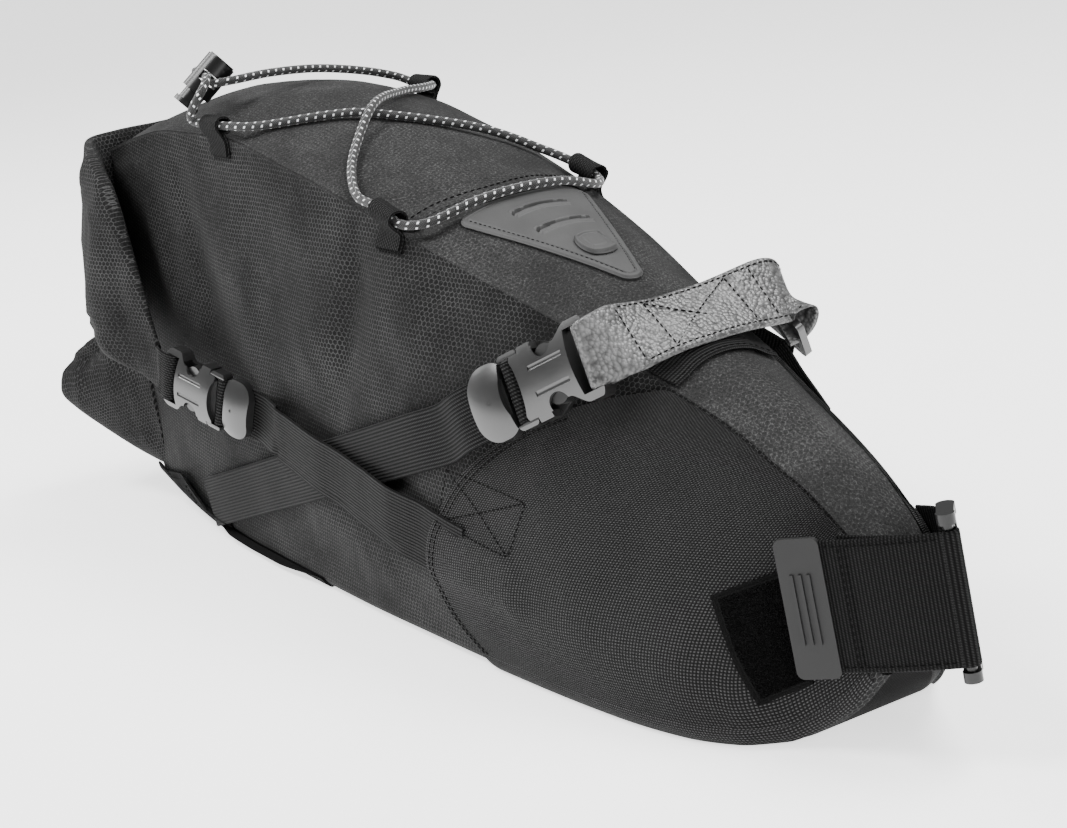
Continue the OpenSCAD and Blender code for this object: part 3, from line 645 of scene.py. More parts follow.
def leather_material(name, shade):
    """Pebbled synthetic leather, with painted highlights on its raised grain."""
    s = Shader(name, 0.5, specular=0.8)
    grain = s.add(s.times(s.cells(620), 0.65), s.times(s.cells(290), 0.35))
    patchy = s.noise(45, 4)
    mixed = s.add(s.times(grain, -0.7), s.scaled(patchy, 0.6, 0.75))
    # The bright stop paints highlights on the raised pebbles.
    s.colour(mixed, [(0.2, shade * 0.15), (0.55, shade * 0.75), (0.92, shade * 2.8)])
    s.roughness(patchy, 0.28, 0.5)
    s.bump((s.times(grain, -1.0), 0.7, 1.0), (s.noise(300, 3), 0.15, 0.4))
    return s.material


def plastic_material(name, shade, specular=1.0):
    """Moulded acetal with a faint spark texture and rubbed high spots."""
    s = Shader(name, 0.3, specular=specular)
    fine = s.noise(900, 3)
    patchy = s.noise(70, 3)
    s.colour(patchy, [(0.3, shade * 0.8), (0.7, shade * 1.3)])
    s.roughness(s.add(s.times(fine, 0.5), s.times(patchy, 0.5)), 0.22, 0.42)
    s.bump((fine, 0.03, 0.3), (s.noise(210, 2), 0.10, 0.15))
    return s.material


def rubber_material(name, shade, dullest=0.68):
    s = Shader(name, 0.6, specular=0.4)
    fine = s.noise(1600, 2)
    patchy = s.noise(60, 4)
    s.colour(s.add(s.times(patchy, 0.7), s.times(fine, 0.3)),
             [(0.3, shade * 0.8), (0.7, shade * 1.2)])
    s.roughness(patchy, 0.5, dullest)
    s.bump((fine, 0.06, 0.5))
    return s.material


def pile_material(name, shade):
    """Hook pile: near black with painted glints on the hook tips."""
    s = Shader(name, 0.8, specular=0.08)
    fine = s.noise(2600, 2)
    mixed = s.times(s.math("SUBTRACT", 1.0, s.cells(1300)), fine)
    # The brightest stop paints glints on the hook tips.
    s.colour(mixed, [(0.2, shade * 0.3), (0.5, shade), (0.72, shade * 14)])
    s.bump((fine, 0.5, 0.8))
    return s.material


CORD_D = 4.0
DOT_PITCH, DOT_ROWS = 4.3, 5
REFLECTIVE = (0.86, 0.87, 0.88, 1)


def cord_material(name):
    """Braided sheath with rows of reflective dots."""
    s = Shader(name, 0.6, sheen=0.2, specular=0.4)
    u, v = s.cloth_axes()
    dots_along = s.wave(s.add(u, s.times(v, 0.35)), DOT_PITCH)
    dots_around = s.wave(v, math.pi * CORD_D / DOT_ROWS)
    dots = s.times(s.math("GREATER_THAN", dots_along, 0.88),
                   s.math("GREATER_THAN", dots_around, 0.55))
    braid = s.times(s.wave(s.add(u, v), 1.0), s.wave(s.math("SUBTRACT", u, v), 1.0))
    # Inputs 0, 6 and 7 of a colour mix are its factor and its two colours
    mix = s.node("ShaderNodeMix", data_type="RGBA")
    s.link(dots, mix.inputs[0])
    s.link(s.ramp(braid, [(0.0, 0.004), (1.0, 0.03)]), mix.inputs[6])
    mix.inputs[7].default_value = REFLECTIVE
    s.link(mix.outputs[2], s.shader.inputs["Base Color"])
    s.bump((braid, 0.3, 0.7), (dots, 0.15, 0.5))
    return s.material


MATERIALS = {
    "ripstop": ripstop_material("hex_ripstop", 0.0145, 0.50),
    # The top's ripstop is the side's cloth painted lighter: painted light falling from above.
    "top": ripstop_material("hex_ripstop_lit_top", 0.033, 0.14),
    "twill": twill_material("base_twill", 0.0068),
    "cordura": cordura_material("coarse_weave", 0.0135),
    "webbing": webbing_material("side_webbing", 0.0095, 1.5, 1.1),
    "post_webbing": webbing_material("post_webbing", 0.0052, 1.35, 1.0, lengthwise=False),
    "tab_webbing": webbing_material("tab_webbing", 0.009, 1.2, 1.6),
    "leather": leather_material("pebbled_leather", 0.046),
    "plastic": plastic_material("moulded_plastic", 0.013),
    "dark_plastic": plastic_material("dark_plastic", 0.0035, specular=0.45),
    "rubber": rubber_material("moulded_rubber", 0.048),
    "tab_rubber": rubber_material("tab_rubber", 0.0045, 0.62),
    "pile": pile_material("hook_pile", 0.0045),
    "thread": twill_material("thread", 0.006),
    "cord": cord_material("reflective_cord"),
    "liner": twill_material("liner", 0.05),
}

# ---- shell pieces

SIDES = {"right": -1, "left": 1}
TRIM_T = 1.0
# How far the outer face of each layer lies off the shell's plain cloth
COVER_LIFT, FLAP_LIFT, UNDER_LIFT = 2.0, 2.0, 1.1
THREAD_LIFT = 1.75


def side_panel(name, side):
    x = np.linspace(REAR_X, NOSE_X, 260)
    s = section(x)
    corner = [corner_point(x, u, side) for u in np.linspace(1.0, 1.9, 7)]
    face = [side_point(x, lerp(s[0] + CORNER_R, s[1], t), side) for t in np.linspace(0, 1, 96)]
    skin(f"side_cloth_{name}", np.stack(corner + face, axis=1), (0, side, 0), "ripstop",
          "shell_fabric", f"side_panel_{name}")


def top_cloth():
    x = np.linspace(REAR_X, NOSE_X, 240)
    half = section(x)[4]
    grid = np.stack([top_point(x, t * half) for t in np.linspace(-1, 1, 81)], axis=1)
    skin("top_cloth", grid, (0, 0, 1), "top", "shell_fabric", "top_panel")


HEM_SIDE, HEM_ARCH = -4.0, 16.5
HEM_SEAMS = (3.0, 9.0)


def hem_x(t):
    return HEM_SIDE + HEM_ARCH * (1 - t * t)


def rear_top_cloth():
    """Rear part of the top, whose hem lies over the rubber patch."""
    columns = np.linspace(-0.985, 0.985, 71)
    rows = []
    for i in np.linspace(0, 1, 150):
        x = lerp(REAR_X + 2, hem_x(columns), i)
        lift = 1.5 - 1.1 * smooth(0.8, 0.985, np.abs(columns)) + 0.5 * smooth(0.97, 1.0, i)
        rows.append(top_point(x, columns * section(x)[4], lift))
    skin("rear_top_cloth", np.stack(rows), (0, 0, 1), "top", "shell_fabric", "rear_top_panel",
          rests_on="top_panel", thickness=TRIM_T)
    t = np.linspace(-0.93, 0.93, 60)
    seams = [hem_x(t) - inset for inset in HEM_SEAMS]
    paths = [top_point(x, t * section(x)[4], THREAD_LIFT) for x in seams]
    stitches("hem_stitches", paths, (0.3, 0, 1.0), "bag")


BASE_END = 195


def base_grid(x, columns):
    """Points of the base between its two rounded corners."""
    s = section(x)
    spread = np.linspace(-1, 1, columns)
    return np.stack([np.stack([x, t * (s[3] - CORNER_R), s[0]], -1) for t in spread], axis=1)


def base_cloth():
    grid = base_grid(np.linspace(REAR_X, BASE_END, 120), 31)
    skin("base_cloth", grid, (0, 0, -1), "twill", "cover_fabric", "bottom_panel",
          "rear_bottom_panel")


def nose_gusset():
    """Narrow strip that closes the nose, under the seatpost strap."""
    across = np.linspace(-1, 1, 21)
    under = base_grid(np.linspace(BASE_END, NOSE_X, 40), len(across))
    s = section(NOSE_X)
    face = []
    for i in np.linspace(0, 1, 16)[1:]:
        half = lerp(s[3] - CORNER_R, s[4], i) if i < 0.9 else s[4] * (1 - (i - 0.9) * 5)
        x = np.full_like(across, NOSE_X + 2.0 * math.sin(math.pi * i))
        z = np.full_like(across, lerp(s[0], s[1] + s[2], i))
        face.append(np.stack([x, across * half, z], -1))
    grid = np.concatenate([under, np.stack(face)])
    skin("nose_gusset", grid, (0.6, 0, -0.6), "twill", "cover_fabric", "front_gusset")


COVER_REAR, COVER_BOW = 31, 0.2


def cover_edge(t):
    """x of the nose cover's rear edge, from the lower corner (t = 0) to the seam (t = 1)."""
    rising = COVER_REAR + 114 * (np.clip(t - COVER_BOW, 0, 1) / (1 - COVER_BOW)) ** 1.62
    lower = COVER_REAR + 26 * (np.clip(COVER_BOW - t, 0, 1) / COVER_BOW) ** 2
    return np.where(t > COVER_BOW, rising, lower)


def cover_point(x, z, side, extra=0.0):
    """Point of the nose cover, raised where it lies on the strap's sewn end."""
    s = section(x)
    t = np.clip((z - s[0] - CORNER_R) / (s[1] - s[0] - CORNER_R), 0, 1)
    slack = 0.9 * ripple(x, z, 88, 7 + side) * smooth(30, 70, x) * np.sin(math.pi * t)
    strap = 2.2 * np.exp(-((z - 50 + 0.1 * (x - COVER_REAR)) / 14) ** 4) * (1 - smooth(84, 100, x))
    return side_point(x, z, side, COVER_LIFT + slack + strap + extra)


def nose_cover(name, side):
    """Coarse cover over the nose, doubled along its rear edge."""
    along = np.linspace(0, 1, 150)
    front = NOSE_X - 1
    columns = []
    for u in np.linspace(1.45, 1.93, 6):
        x = lerp(cover_edge(0.0) + 15 * (1.93 - u), front, along)
        columns.append(corner_point(x, u, side, -1.9))

    def at_height(x, t, extra=0.0):
        s = section(x)
        return cover_point(x, lerp(s[0] + CORNER_R, s[1], t), side, extra)

    columns += [at_height(lerp(cover_edge(t), front, along), t) for t in np.linspace(0, 1, 80)]
    skin(f"nose_cloth_{name}", np.stack(columns, axis=1), (0, side, 0), "cordura", "cover_fabric",
          f"nose_cover_{name}", rests_on=f"side_panel_{name}", thickness=1.4)

    def tack_row(a, b):
        x, z = (lerp(a[k], b[k], np.linspace(0, 1, 24)) for k in (0, 1))
        return cover_point(x, z, side, 0.1)

    t = np.linspace(0, 0.8, 80)
    rows = [at_height(cover_edge(t) + inset, t, 0.1) for inset in (2.5, 5.2)]
    box = [(47, 84), (96, 78), (88, 56), (41, 62)]
    rows += [tack_row(box[i], box[j]) for i, j in ((0, 1), (1, 2), (2, 3), (3, 0), (0, 2), (1, 3))]
    stitches(f"nose_stitches_{name}", rows, (0, side, 0.1), "bag", pitch=2.7, length=1.8)


FLAP_START, FLAP_POINT, FLAP_END = -276, -233, -184


def flap_top(x):
    """Height of the cradle's upper edge, which comes to a point where the strap leaves it."""
    rear = lerp(19, 26, (x - FLAP_START) / (FLAP_POINT - FLAP_START))
    front = lerp(26, -1, (x - FLAP_POINT) / (FLAP_END - FLAP_POINT))
    return np.where(x < FLAP_POINT, rear, front)


def flap_stand(x):
    """How far the upper edge stands off the side."""
    return smooth(-262, -226, x) * 2.2


def support_flap(name, side):
    """Cradle cloth under the belly that the support strap lifts."""
    x = np.concatenate([np.linspace(FLAP_START, FLAP_POINT, 50),
                        np.linspace(FLAP_POINT + 1, FLAP_END, 60)])
    low = section(x)[0] + CORNER_R
    turn = lerp(1.95, 1.2, np.clip((x + 200) / 16, 0, 1))
    columns = [corner_point(x, u, side, -1.2) for u in (0.9, 1.0)]
    columns += [corner_point(x, np.minimum(u, turn), side, -2.2)
                for u in np.linspace(1.1, 1.95, 10)]
    for t in np.linspace(0, 1, 22):
        z = lerp(low, np.maximum(flap_top(x), low), t)
        fullness = flap_stand(x) * t + 0.4 * ripple(x, z, 30, 3)
        columns.append(side_point(x, z, side, FLAP_LIFT + fullness))
    skin(f"support_cloth_{name}", np.stack(columns, axis=1), (0, side, 0), "twill",
          "cover_fabric", f"support_flap_{name}", rests_on=f"side_panel_{name}")
    rows = []
    for start, end in ((-270, -238), (-230, -206)):
        x = np.linspace(start, end, 40)
        z = np.maximum(flap_top(x) - 3.2, section(x)[0] + CORNER_R)
        rows.append(side_point(x, z, side, FLAP_LIFT + 0.4 + flap_stand(x)))
    stitches(f"support_stitches_{name}", rows, (0, side, 0.1), "bag")
    under_cloth(name, side)


def under_cloth(name, side):
    """Second layer of the cradle, which runs on under the belly."""
    x = np.linspace(-205, -84, 70)
    drop = 3.0 * smooth(-205, -180, x) * (1 - smooth(-130, -84, x))
    columns = [corner_point(x, u, side, -UNDER_LIFT) for u in np.linspace(0.95, 1.75, 9)]
    outer = columns[-1].copy()
    outer[:, 1] += side * drop
    outer[:, 2] = np.maximum(outer[:, 2] - 0.5 * drop, 0.6)
    skin(f"under_cloth_{name}", np.stack(columns + [outer], axis=1), (0, side, -0.5), "twill",
          "cover_fabric", rests_on="bottom_panel", thickness=0.8)


def rear_cloth():
    """Rear wall behind the closure."""
    s = section(REAR_X)
    t = np.linspace(-1, 1, 31)
    rows = []
    for i in np.linspace(0, 1, 40):
        z = lerp(s[0], s[1] + s[2] * 0.8, i)
        half = float(side_y(REAR_X, z)) - (1.0 if i > 0 else CORNER_R)
        half = min(half, s[4] - 3) if i > 0.9 else half
        rows.append(np.stack([REAR_X - 0.4 - 1.0 * (1 - t ** 2), t * half, np.full_like(t, z)], -1))
    skin("rear_cloth", np.stack(rows), (-1, 0, 0), "ripstop", "shell_fabric", "rear_panel",
          thickness=TRIM_T)


def padded_piece(name, rings, uvs, look, slot, node):
    made = loft(name, rings, uvs)
    finish_piece(made, "bag", look, slot, node)


def power(v, exponent):
    """Power that keeps the sign, for rings between an ellipse and a box."""
    return np.sign(v) * np.abs(v) ** exponent


# The bulge under the closure as x, half width, low edge, high edge
BULGE = [[-268, 57, 13, 99], [-284, 62, 17.5, 98], [-298, 67.5, 23.5, 96.5], [-316, 73, 32, 91],
         [-330, 77, 41, 83], [-339, 78, 48.5, 76], [-343.5, 75, 56, 69]]


def rear_bulge():
    """Folded gusset that swells out below the rolled mouth."""
    turns = np.linspace(0, 2 * math.pi, 160, endpoint=False)
    cy, cz = power(np.cos(turns), 0.36), power(np.sin(turns), 0.36)
    rings = []
    for x, wide, low, high in spline(BULGE, 10):
        y = wide * cy
        z = (low + high) / 2 + (high - low) / 2 * cz
        deep = smooth(-282, -330, x)
        crease = 5.0 * np.exp(-((z - lerp(95, 74, deep)) / 5.5) ** 2) * smooth(-274, -300, x)
        lap = 2.4 * np.exp(-((z - lerp(60, 58, deep) - 0.10 * (x + 300)) / 9.0) ** 2)
        rough = (0.7 * ripple(np.full_like(y, x) * 1.3, z, 40, 4)
                 + 0.3 * ripple(y + x, z, 19, 6))
        face_y = (lap - crease + rough) * np.abs(cy) ** 6
        rings.append(np.stack([np.full_like(y, x), y + np.sign(cy) * face_y, z + rough * 0.6], -1))
    rings = np.array(rings)
    uv = np.stack([-rings[..., 0] * 1.15, rings[..., 2] + np.abs(rings[..., 1])], -1)
    padded_piece("rear_bulge", rings, uv, "ripstop", "shell_fabric", "rear_gusset")


# The rolled mouth from the right end round the rear, as x, y, low edge, high edge, thickness
CLOSURE = [[-200, 79, 79, 106, 2.6], [-208, 78, 81, 124, 4], [-218, 76.6, 84, 152, 7.5],
           [-230, 74.6, 88, 178, 11], [-245, 71.5, 92, 189, 13], [-262, 66, 98, 195, 13],
           [-276, 60.5, 100, 197, 11], [-278.5, 48, 101, 198, 8], [-278.5, 24, 102, 198.5, 8],
           [-278.5, 0, 102, 199, 8]]


def roll_closure():
    """Flattened and rolled mouth: a padded band with a soft lower fold."""
    right = [[x, -y, low, high, thick] for x, y, low, high, thick in CLOSURE]
    path = spline(right + CLOSURE[-2::-1], 12)
    centre = path[:, :2]
    along = unit(np.gradient(centre, axis=0))
    outward = np.stack([along[:, 1], -along[:, 0]], -1)
    if outward[len(outward) // 2, 0] > 0:
        outward = -outward
    turns = np.linspace(0, 2 * math.pi, 60, endpoint=False)
    up, deep = power(np.sin(turns), 0.45), power(np.cos(turns), 0.7)
    run = run_length(centre)
    rings, uvs = [], []
    for (x, y, low, high, thick), out, s in zip(path, outward, run):
        z = (low + high) / 2 + (high - low) / 2 * up
        at = np.full_like(z, s)
        fade = smooth(0, 60, min(s, run[-1] - s))
        flare = 1 + 0.75 * smooth(8, 13, thick) * (1 - smooth(low, high, z))
        crease = (1.3 * ripple(at, z, 52, 3) + 0.7 * ripple(at, z, 22, 9)) * fade
        roll = -1.6 * np.exp(-((z - low - 15) / 3.0) ** 2) * fade
        push = thick / 2 * (1 + deep) * flare + np.where(deep > 0, crease + roll, 0)
        rings.append(np.stack([x + out[0] * push, y + out[1] * push, z], -1))
        uvs.append(np.stack([at, z], -1))
    padded_piece("roll_closure_cloth", rings, uvs, "ripstop", "shell_fabric", "roll_closure")


def liner_cloth():
    """Inner bag, wholly inside the shell."""
    rings = []
    for x in np.linspace(REAR_X + 1, NOSE_X - 1, 60):
        s = section(x)
        z = lerp(s[0] + 3, s[1] - 3, np.linspace(0, 1, 16))
        half = side_y(x, z) - 6
        y, z = np.concatenate([half, -half[::-1]]), np.concatenate([z, z[::-1]])
        rings.append(np.stack([np.full_like(y, x), y, z], -1))
    no_uv = np.zeros((len(rings), len(rings[0]), 2))
    padded_piece("liner_cloth", rings, no_uv, "liner", "liner", "liner")


# ---- buckle frames

BUCKLE_MID = 4.0
ROLL_SCALE = 0.92


def placed(origin, degrees, scale=1.0, mirror=False):
    """Turns local millimetres of a CAD group into the row's frame."""
    rotation = np.array(Euler([math.radians(d) for d in degrees], "XYZ").to_matrix())
    origin = np.array(origin, float)
    flip = np.array([1, -1, 1]) if mirror else np.ones(3)

    def point(p):
        p = np.asarray(p, float)
        return (origin + (p * scale) @ rotation.T) * flip

    def direction(v):
        return (np.asarray(v, float) @ rotation.T) * flip

    return point, direction


rail_at, rail_dir = placed((72, -68.5, 112), (75.9, -24.6, 26.1))
ring_at, ring_dir = placed((267, -2, 62), (0, 6, 210.3))
roll_frames = {name: placed((-127, -71.5, 77), (-86.4, -15.4, 193.8), ROLL_SCALE, mirror=side > 0)
               for name, side in SIDES.items()}


def buckle_path(points):
    """Local x and height above the buckle's base, as points on its middle plane."""
    return np.array([[x, 0, z - BUCKLE_MID] for x, z in points])


# ---- straps

NARROWED_W = WEB_W * 0.94
STRAP_SPAN = 6
# Straps lie over each other in this order, each a webbing's thickness further off the side
SUPPORT_LIFT, LOWER_LIFT, UPPER_LIFT = 3.1, 4.7, 6.3


def side_line(start, end, side, lift, n=14):
    t = np.linspace(0, 1, n)
    return side_point(lerp(start[0], end[0], t), lerp(start[1], end[1], t), side, lift)


def side_across(start, end):
    d = np.array([end[0] - start[0], 0, end[1] - start[1]], float)
    return unit(np.array([-d[2], 0, d[0]]))


def turned_width(path, across, turn, last):
    """Width directions along a path that turn over for its last points, without a twist."""
    turn = turn if np.dot(turn, across) > 0 else -turn
    return np.vstack([np.repeat(across[None], len(path) - last, axis=0),
                      np.repeat(turn[None], last, axis=0)])


def blended(made):
    """Bakes the strap's object transform into its mesh."""
    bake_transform(made)


def support_straps():
    """Webbing from the cradle's corner to the rail buckle, or to the nose cover on the left."""
    start, end = (-200, 18), (46, 98)
    across = side_across(start, end)
    line = side_line(start, end, -1, SUPPORT_LIFT)
    loop = rail_at(buckle_path([(-10, 0.8), (6, 0.75), (18, 0.75), (22.5, 0.7), (24.0, 1.9),
                                (24.0, 4.0), (22.6, 5.5), (20.2, 5.4), (19.0, 4.0), (18.9, 2.6)]))
    path = spline(np.vstack([line, loop]), STRAP_SPAN)
    width = turned_width(path, across, rail_dir((0, 1, 0)), len(loop) * STRAP_SPAN)
    for _ in range(3):
        width = np.vstack([width[:1], (width[:-2] + width[1:-1] + width[2:]) / 3, width[-1:]])
    made = webbing("support_webbing_right", path, width, "webbing", "support_strap_right",
                   "rail_buckle_webbing", body=None)
    blended(made)
    path = spline(side_line(start, end, 1, SUPPORT_LIFT, 20), 4)
    webbing("support_webbing_left", path, across, "webbing", "support_strap_left")


def compression_straps(name, side):
    """Doubled strap from the nose cover back to the roll buckle."""
    at, direction = roll_frames[name]
    start, end = (60, 45), (-104, 71.5)
    across = side_across(end, start)
    line = side_line(start, end, side, LOWER_LIFT, 18)
    line[:, 1] -= side * 3.6 * smooth(5, 32, line[:, 0])
    webbing(f"compression_lower_{name}", spline(line, 5), across, "webbing",
            f"compression_strap_lower_{name}")
    line = side_line((58, 51), (-100, 74), side, UPPER_LIFT, 16)
    line[:, 1] -= side * 4.4 * smooth(0, 30, line[:, 0])
    loop = at(buckle_path([(-6, 0.9), (6, 0.75), (18, 0.75), (22.5, 0.9), (23.9, 2.2),
                           (23.8, 4.4), (22.6, 5.9), (20.2, 5.8), (19.1, 4.2), (19.0, 2.6)]))
    path = spline(np.vstack([line, loop]), STRAP_SPAN)
    width = turned_width(path, across, direction((0, 1, 0)), len(loop) * STRAP_SPAN)
    webbing(f"compression_upper_{name}", path, width, "webbing",
            f"compression_strap_upper_{name}", f"roll_webbing_{name}", size=(NARROWED_W, WEB_T))


def roll_tongue(name, side):
    """End of the rolled mouth, narrowed to webbing and threaded on the female half."""
    at, direction = roll_frames[name]
    loop = at(buckle_path([(66, 1.2), (62, 1.1), (58.6, 1.4), (57.6, 3.2), (58.2, 6.2), (61, 7.2),
                           (65, 6.6), (70, 4.8)]))
    ends = [[-200, 79, 91.5], [-208, 78, 94], [-218, 76.5, 97]]
    tail = np.array([[x, side * (y + 1.4), z] for x, y, z in ends])
    path = spline(np.vstack([loop, tail]), STRAP_SPAN)
    turn = direction((0, 1, 0))
    turn = turn if turn[2] > 0 else -turn
    upright = unit(np.array([0.1, 0, 1.0]))
    mix = smooth(0, 1, np.linspace(-0.6, 1.2, len(path)))[:, None]
    made = sweep(f"roll_tongue_{name}", path, turn * (1 - mix) + upright * mix,
                 band_profile(NARROWED_W, 1.5))
    finish_piece(made, None, "tab_webbing", "shell_fabric", f"roll_tongue_{name}")
    blended(made)


RAIL_SPAN = 8
RAIL_W, RAIL_T = 30, 2.8
RAIL_SEAM, RAIL_THREAD_LIFT = 12.6, 1.5


def rail_strap():
    """Double strap over the saddle rails, looped on the buckle, folded round the ladder lock."""
    near = rail_dir((0, 1, 0)) * -1
    loop = rail_at(buckle_path([(70, 0.9), (64, 0.7), (59.6, 0.5), (57.4, 2.0), (57.2, 5.2),
                                (59.0, 7.6), (62.5, 8.1)]))
    body = [[127.6, -38, 141.6], [128.0, -30, 142.4], [128.3, -20, 142.8], [128.4, -8, 143.0],
            [128.4, 4, 143.3], [128.3, 18, 143.8], [128.1, 30, 144.2], [127.8, 40, 144.4],
            [127.4, 45.2, 143.2], [127.0, 47.2, 140.4], [126.6, 46.4, 137.2], [126.0, 44, 135.0],
            [125.2, 40, 134.0]]
    path = spline(np.vstack([loop, body]), RAIL_SPAN)
    middle, end = np.array([0.86, 0, -0.51]), np.array([0.62, 0, -0.785])

    def from_to(first, last):
        return smooth(first * RAIL_SPAN, last * RAIL_SPAN, np.arange(len(path)))

    mix, late, inside = from_to(6, 10)[:, None], from_to(11, 14.5)[:, None], from_to(5.4, 8)
    width = near * (1 - mix) + (middle * (1 - late) + end * late) * mix
    scale = np.stack([lerp(0.87, 1.0, inside), lerp(0.8, 1.0, inside)], -1)
    made = sweep("rail_strap_leather", path, width, band_profile(RAIL_W, RAIL_T, 16), scale)
    finish_piece(made, "bag", "leather", "strap_leather", "rail_strap", "rail_strap_loop")

    along = unit(np.gradient(path, axis=0))
    side = unit(width - along * (width * along).sum(-1, keepdims=True))
    up = np.cross(along, side)
    up = np.where(up[:, 2:] < 0, -up, up)
    up = up * RAIL_THREAD_LIFT
    shown = slice(8 * RAIL_SPAN, 16 * RAIL_SPAN)
    rows = [(path + side * w + up)[shown] for w in (-RAIL_SEAM, RAIL_SEAM)]

    def cross_row(i, j):
        middle_of_row = (path + up)[(i + j) // 2]
        return spline([path[i] - side[i] * 12 + up[i], middle_of_row,
                       path[j] + side[j] * 12 + up[j]], 10)

    marks = [int(RAIL_SPAN * k) for k in (7.9, 9.3, 12.4, 13.4)]
    rows += [cross_row(i, i) for i in marks]
    rows += [cross_row(marks[1], marks[2]), cross_row(marks[2], marks[1])]
    stitches("rail_strap_stitches", rows, (0.4, 0, 0.9), "bag", pitch=2.9, length=2.0, radius=0.3)


def rail_anchor():
    """Webbing that ties the ladder lock to the left side."""
    z = np.array([116, 110, 104, 96, 88.0])
    root = side_point(116 + (112 - z) * 0.7, z, 1, 1.6 + 1.6 * smooth(100, 120, z))
    path = spline(np.vstack([[[119.5, 42.5, 126]], root]), 8)
    webbing("rail_anchor_webbing_strap", path, (0.9, 0, 0.42), "webbing", "rail_anchor_webbing")


def rail_underlay():
    """Flat webbing sewn across the top under the rail strap."""
    x = 134.0
    y = np.linspace(-0.98, 0.98, 40) * section(x)[4]
    path = top_point(np.full_like(y, x), y, 1.4)
    across = np.array([0.9, 0, -0.36])
    webbing("rail_underlay", path, across, "webbing", size=(26, 1.2))
    rows = [path + across * w + np.array([0.3, 0, 0.75]) for w in (-11.5, 11.5)]
    stitches("underlay_stitches", rows, (0.4, 0, 0.9), "bag")


# ---- seatpost strap

POST_W, POST_T = 50, 1.9
ROOT_W, ROOT_T = 47, 1.5
BAR_WRAP_R = 3.05
REAR_BAR = (3, -10.5)


def seatpost_strap():
    """Ribbed strap that wraps the ring's bar and runs back along the right side."""
    turns = np.radians(np.arange(-100, -300, -22))
    wrap = [[BAR_WRAP_R * math.cos(a), BAR_WRAP_R * math.sin(a)] for a in turns]
    leg = [[3, 3.2], [12, 4.3], [24, 5.0], [36, 4.7], [48, 3.8], [60, 3.0]]
    path = np.array([[x, y, 0] for x, y in spline(wrap + leg, 6)])
    webbing("seatpost_webbing", ring_at(path), ring_dir((0, 0, 1)), "post_webbing",
            "seatpost_strap", body="strap_tail", size=(POST_W, POST_T), columns=24)
    rows = [ring_at(path[60:] + np.array([0, 1.1, z])) for z in (-22.6, 22.6)]
    rows += [ring_at(np.array([[x, 5.75, z] for z in np.linspace(-22.5, 22.5, 30)]))
             for x in (36.5, 38.6)]
    stitches("seatpost_stitches", rows, ring_dir((0, 1, 0)), "strap_tail", pitch=2.8, length=1.9)


def post_root(name, node, side, rest, turns):
    """Webbing sewn to the nose at its root, then along rest with its width along turns."""
    x = 229.0
    low, high = (np.array([x, side * (float(side_y(x, z)) + 3.6), z]) for z in (34.0, 82.0))
    path = spline([((low + high) / 2).tolist()] + rest, 8)
    width = spline([(high - low).tolist()] + turns, 8)
    webbing(name, path, width, "post_webbing", node, size=(ROOT_W, ROOT_T), columns=20)


def seatpost_roots():
    """Sewn inner strap on the right and the ring's anchor webbing on the left."""
    post_root("seatpost_inner_webbing", "seatpost_inner_strap", -1,
              [[240.4, -15.8, 58.8], [251, -11.9, 60.4], [260, -6.9, 61.5]],
              [[0, 2, POST_W], [-1.5, -0.5, POST_W], [-4.5, -2.6, POST_W]])
    bar = ring_at(np.array([[REAR_BAR[0] + a, REAR_BAR[1] + b, 0]
                            for a, b in ((3.3, -1.2), (1.5, -3.0), (-1.8, -2.6))]))
    post_root("seatpost_anchor_strap", "seatpost_anchor_webbing", 1,
              [[240, 19, 60], [250, 13.5, 61]] + bar.tolist(),
              [[0, -5, POST_W], [-3, -4, POST_W]] + [ring_dir((0, 0, POST_W)).tolist()] * 3)


def hook_patch():
    """Skewed patch of hook pile with a plain, lowered border."""
    (ax, az), (bx, bz), (cx, cz), (dx, dz) = (183, 55), (208, 67), (219, 26), (202, 17)
    s, t = np.meshgrid(np.linspace(0, 1, 110), np.linspace(0, 1, 170), indexing="ij")
    x = lerp(lerp(dx, cx, s), lerp(ax, bx, s), t)
    z = lerp(lerp(dz, cz, s), lerp(az, bz, s), t)
    rng = np.random.default_rng(7)
    edge = np.minimum(np.minimum(s, 1 - s) * 26, np.minimum(t, 1 - t) * 48)
    hooks = smooth(1.6, 2.6, edge) * (0.5 + 0.8 * rng.random(s.shape))
    height = 3.3 + hooks - 0.3 * (1 - smooth(0, 1.2, edge))
    skin("hook_pile_patch", side_point(x, z, -1, height), (0, -1, 0), "pile", "hook", "hook_patch",
          rests_on=None, thickness=1.4)


# ---- rubber patch

PATCH_REAR, PATCH_APEX, PATCH_HALF = 15.0, 104.0, 34.0
PATCH_SLOPE = math.atan(PATCH_HALF / (PATCH_APEX - PATCH_REAR))
PATCH_LIFT = 2.2
CORNER_ROUND, TIP_R = 6.0, 6.0
TIP_X = PATCH_APEX - TIP_R / math.sin(PATCH_SLOPE)
TIP_START = TIP_X + TIP_R * math.sin(PATCH_SLOPE)
PATCH_FRONT = TIP_X + TIP_R
SLOTS = ((29.0, 14.5), (45.5, 14.0))
BADGE_X, BADGE_HALF = 67.0, (8.6, 7.8)


def patch_half_width(x):
    """Half width of the triangle with rounded corners."""
    taper = PATCH_HALF * (1 - (x - PATCH_REAR) / (PATCH_APEX - PATCH_REAR))
    tip = np.sqrt(np.clip(TIP_R ** 2 - (x - TIP_X) ** 2, 0, None))
    half = np.where(x > TIP_START, tip, taper)
    short = np.clip(1 - (x - PATCH_REAR) / CORNER_ROUND, 0, 1)
    rear = np.sqrt(np.clip(1 - short ** 2, 0, 1))
    return np.maximum(0.3, half - CORNER_ROUND * (1 - rear))


def moulding(name, xs, ys, height, thickness, node):
    """Rubber trim on the top, with its height over the cloth at each point."""
    skin(name, top_point(xs, ys, height), (0, 0, 1), "rubber", "rubber", node, rests_on=None,
          thickness=thickness)


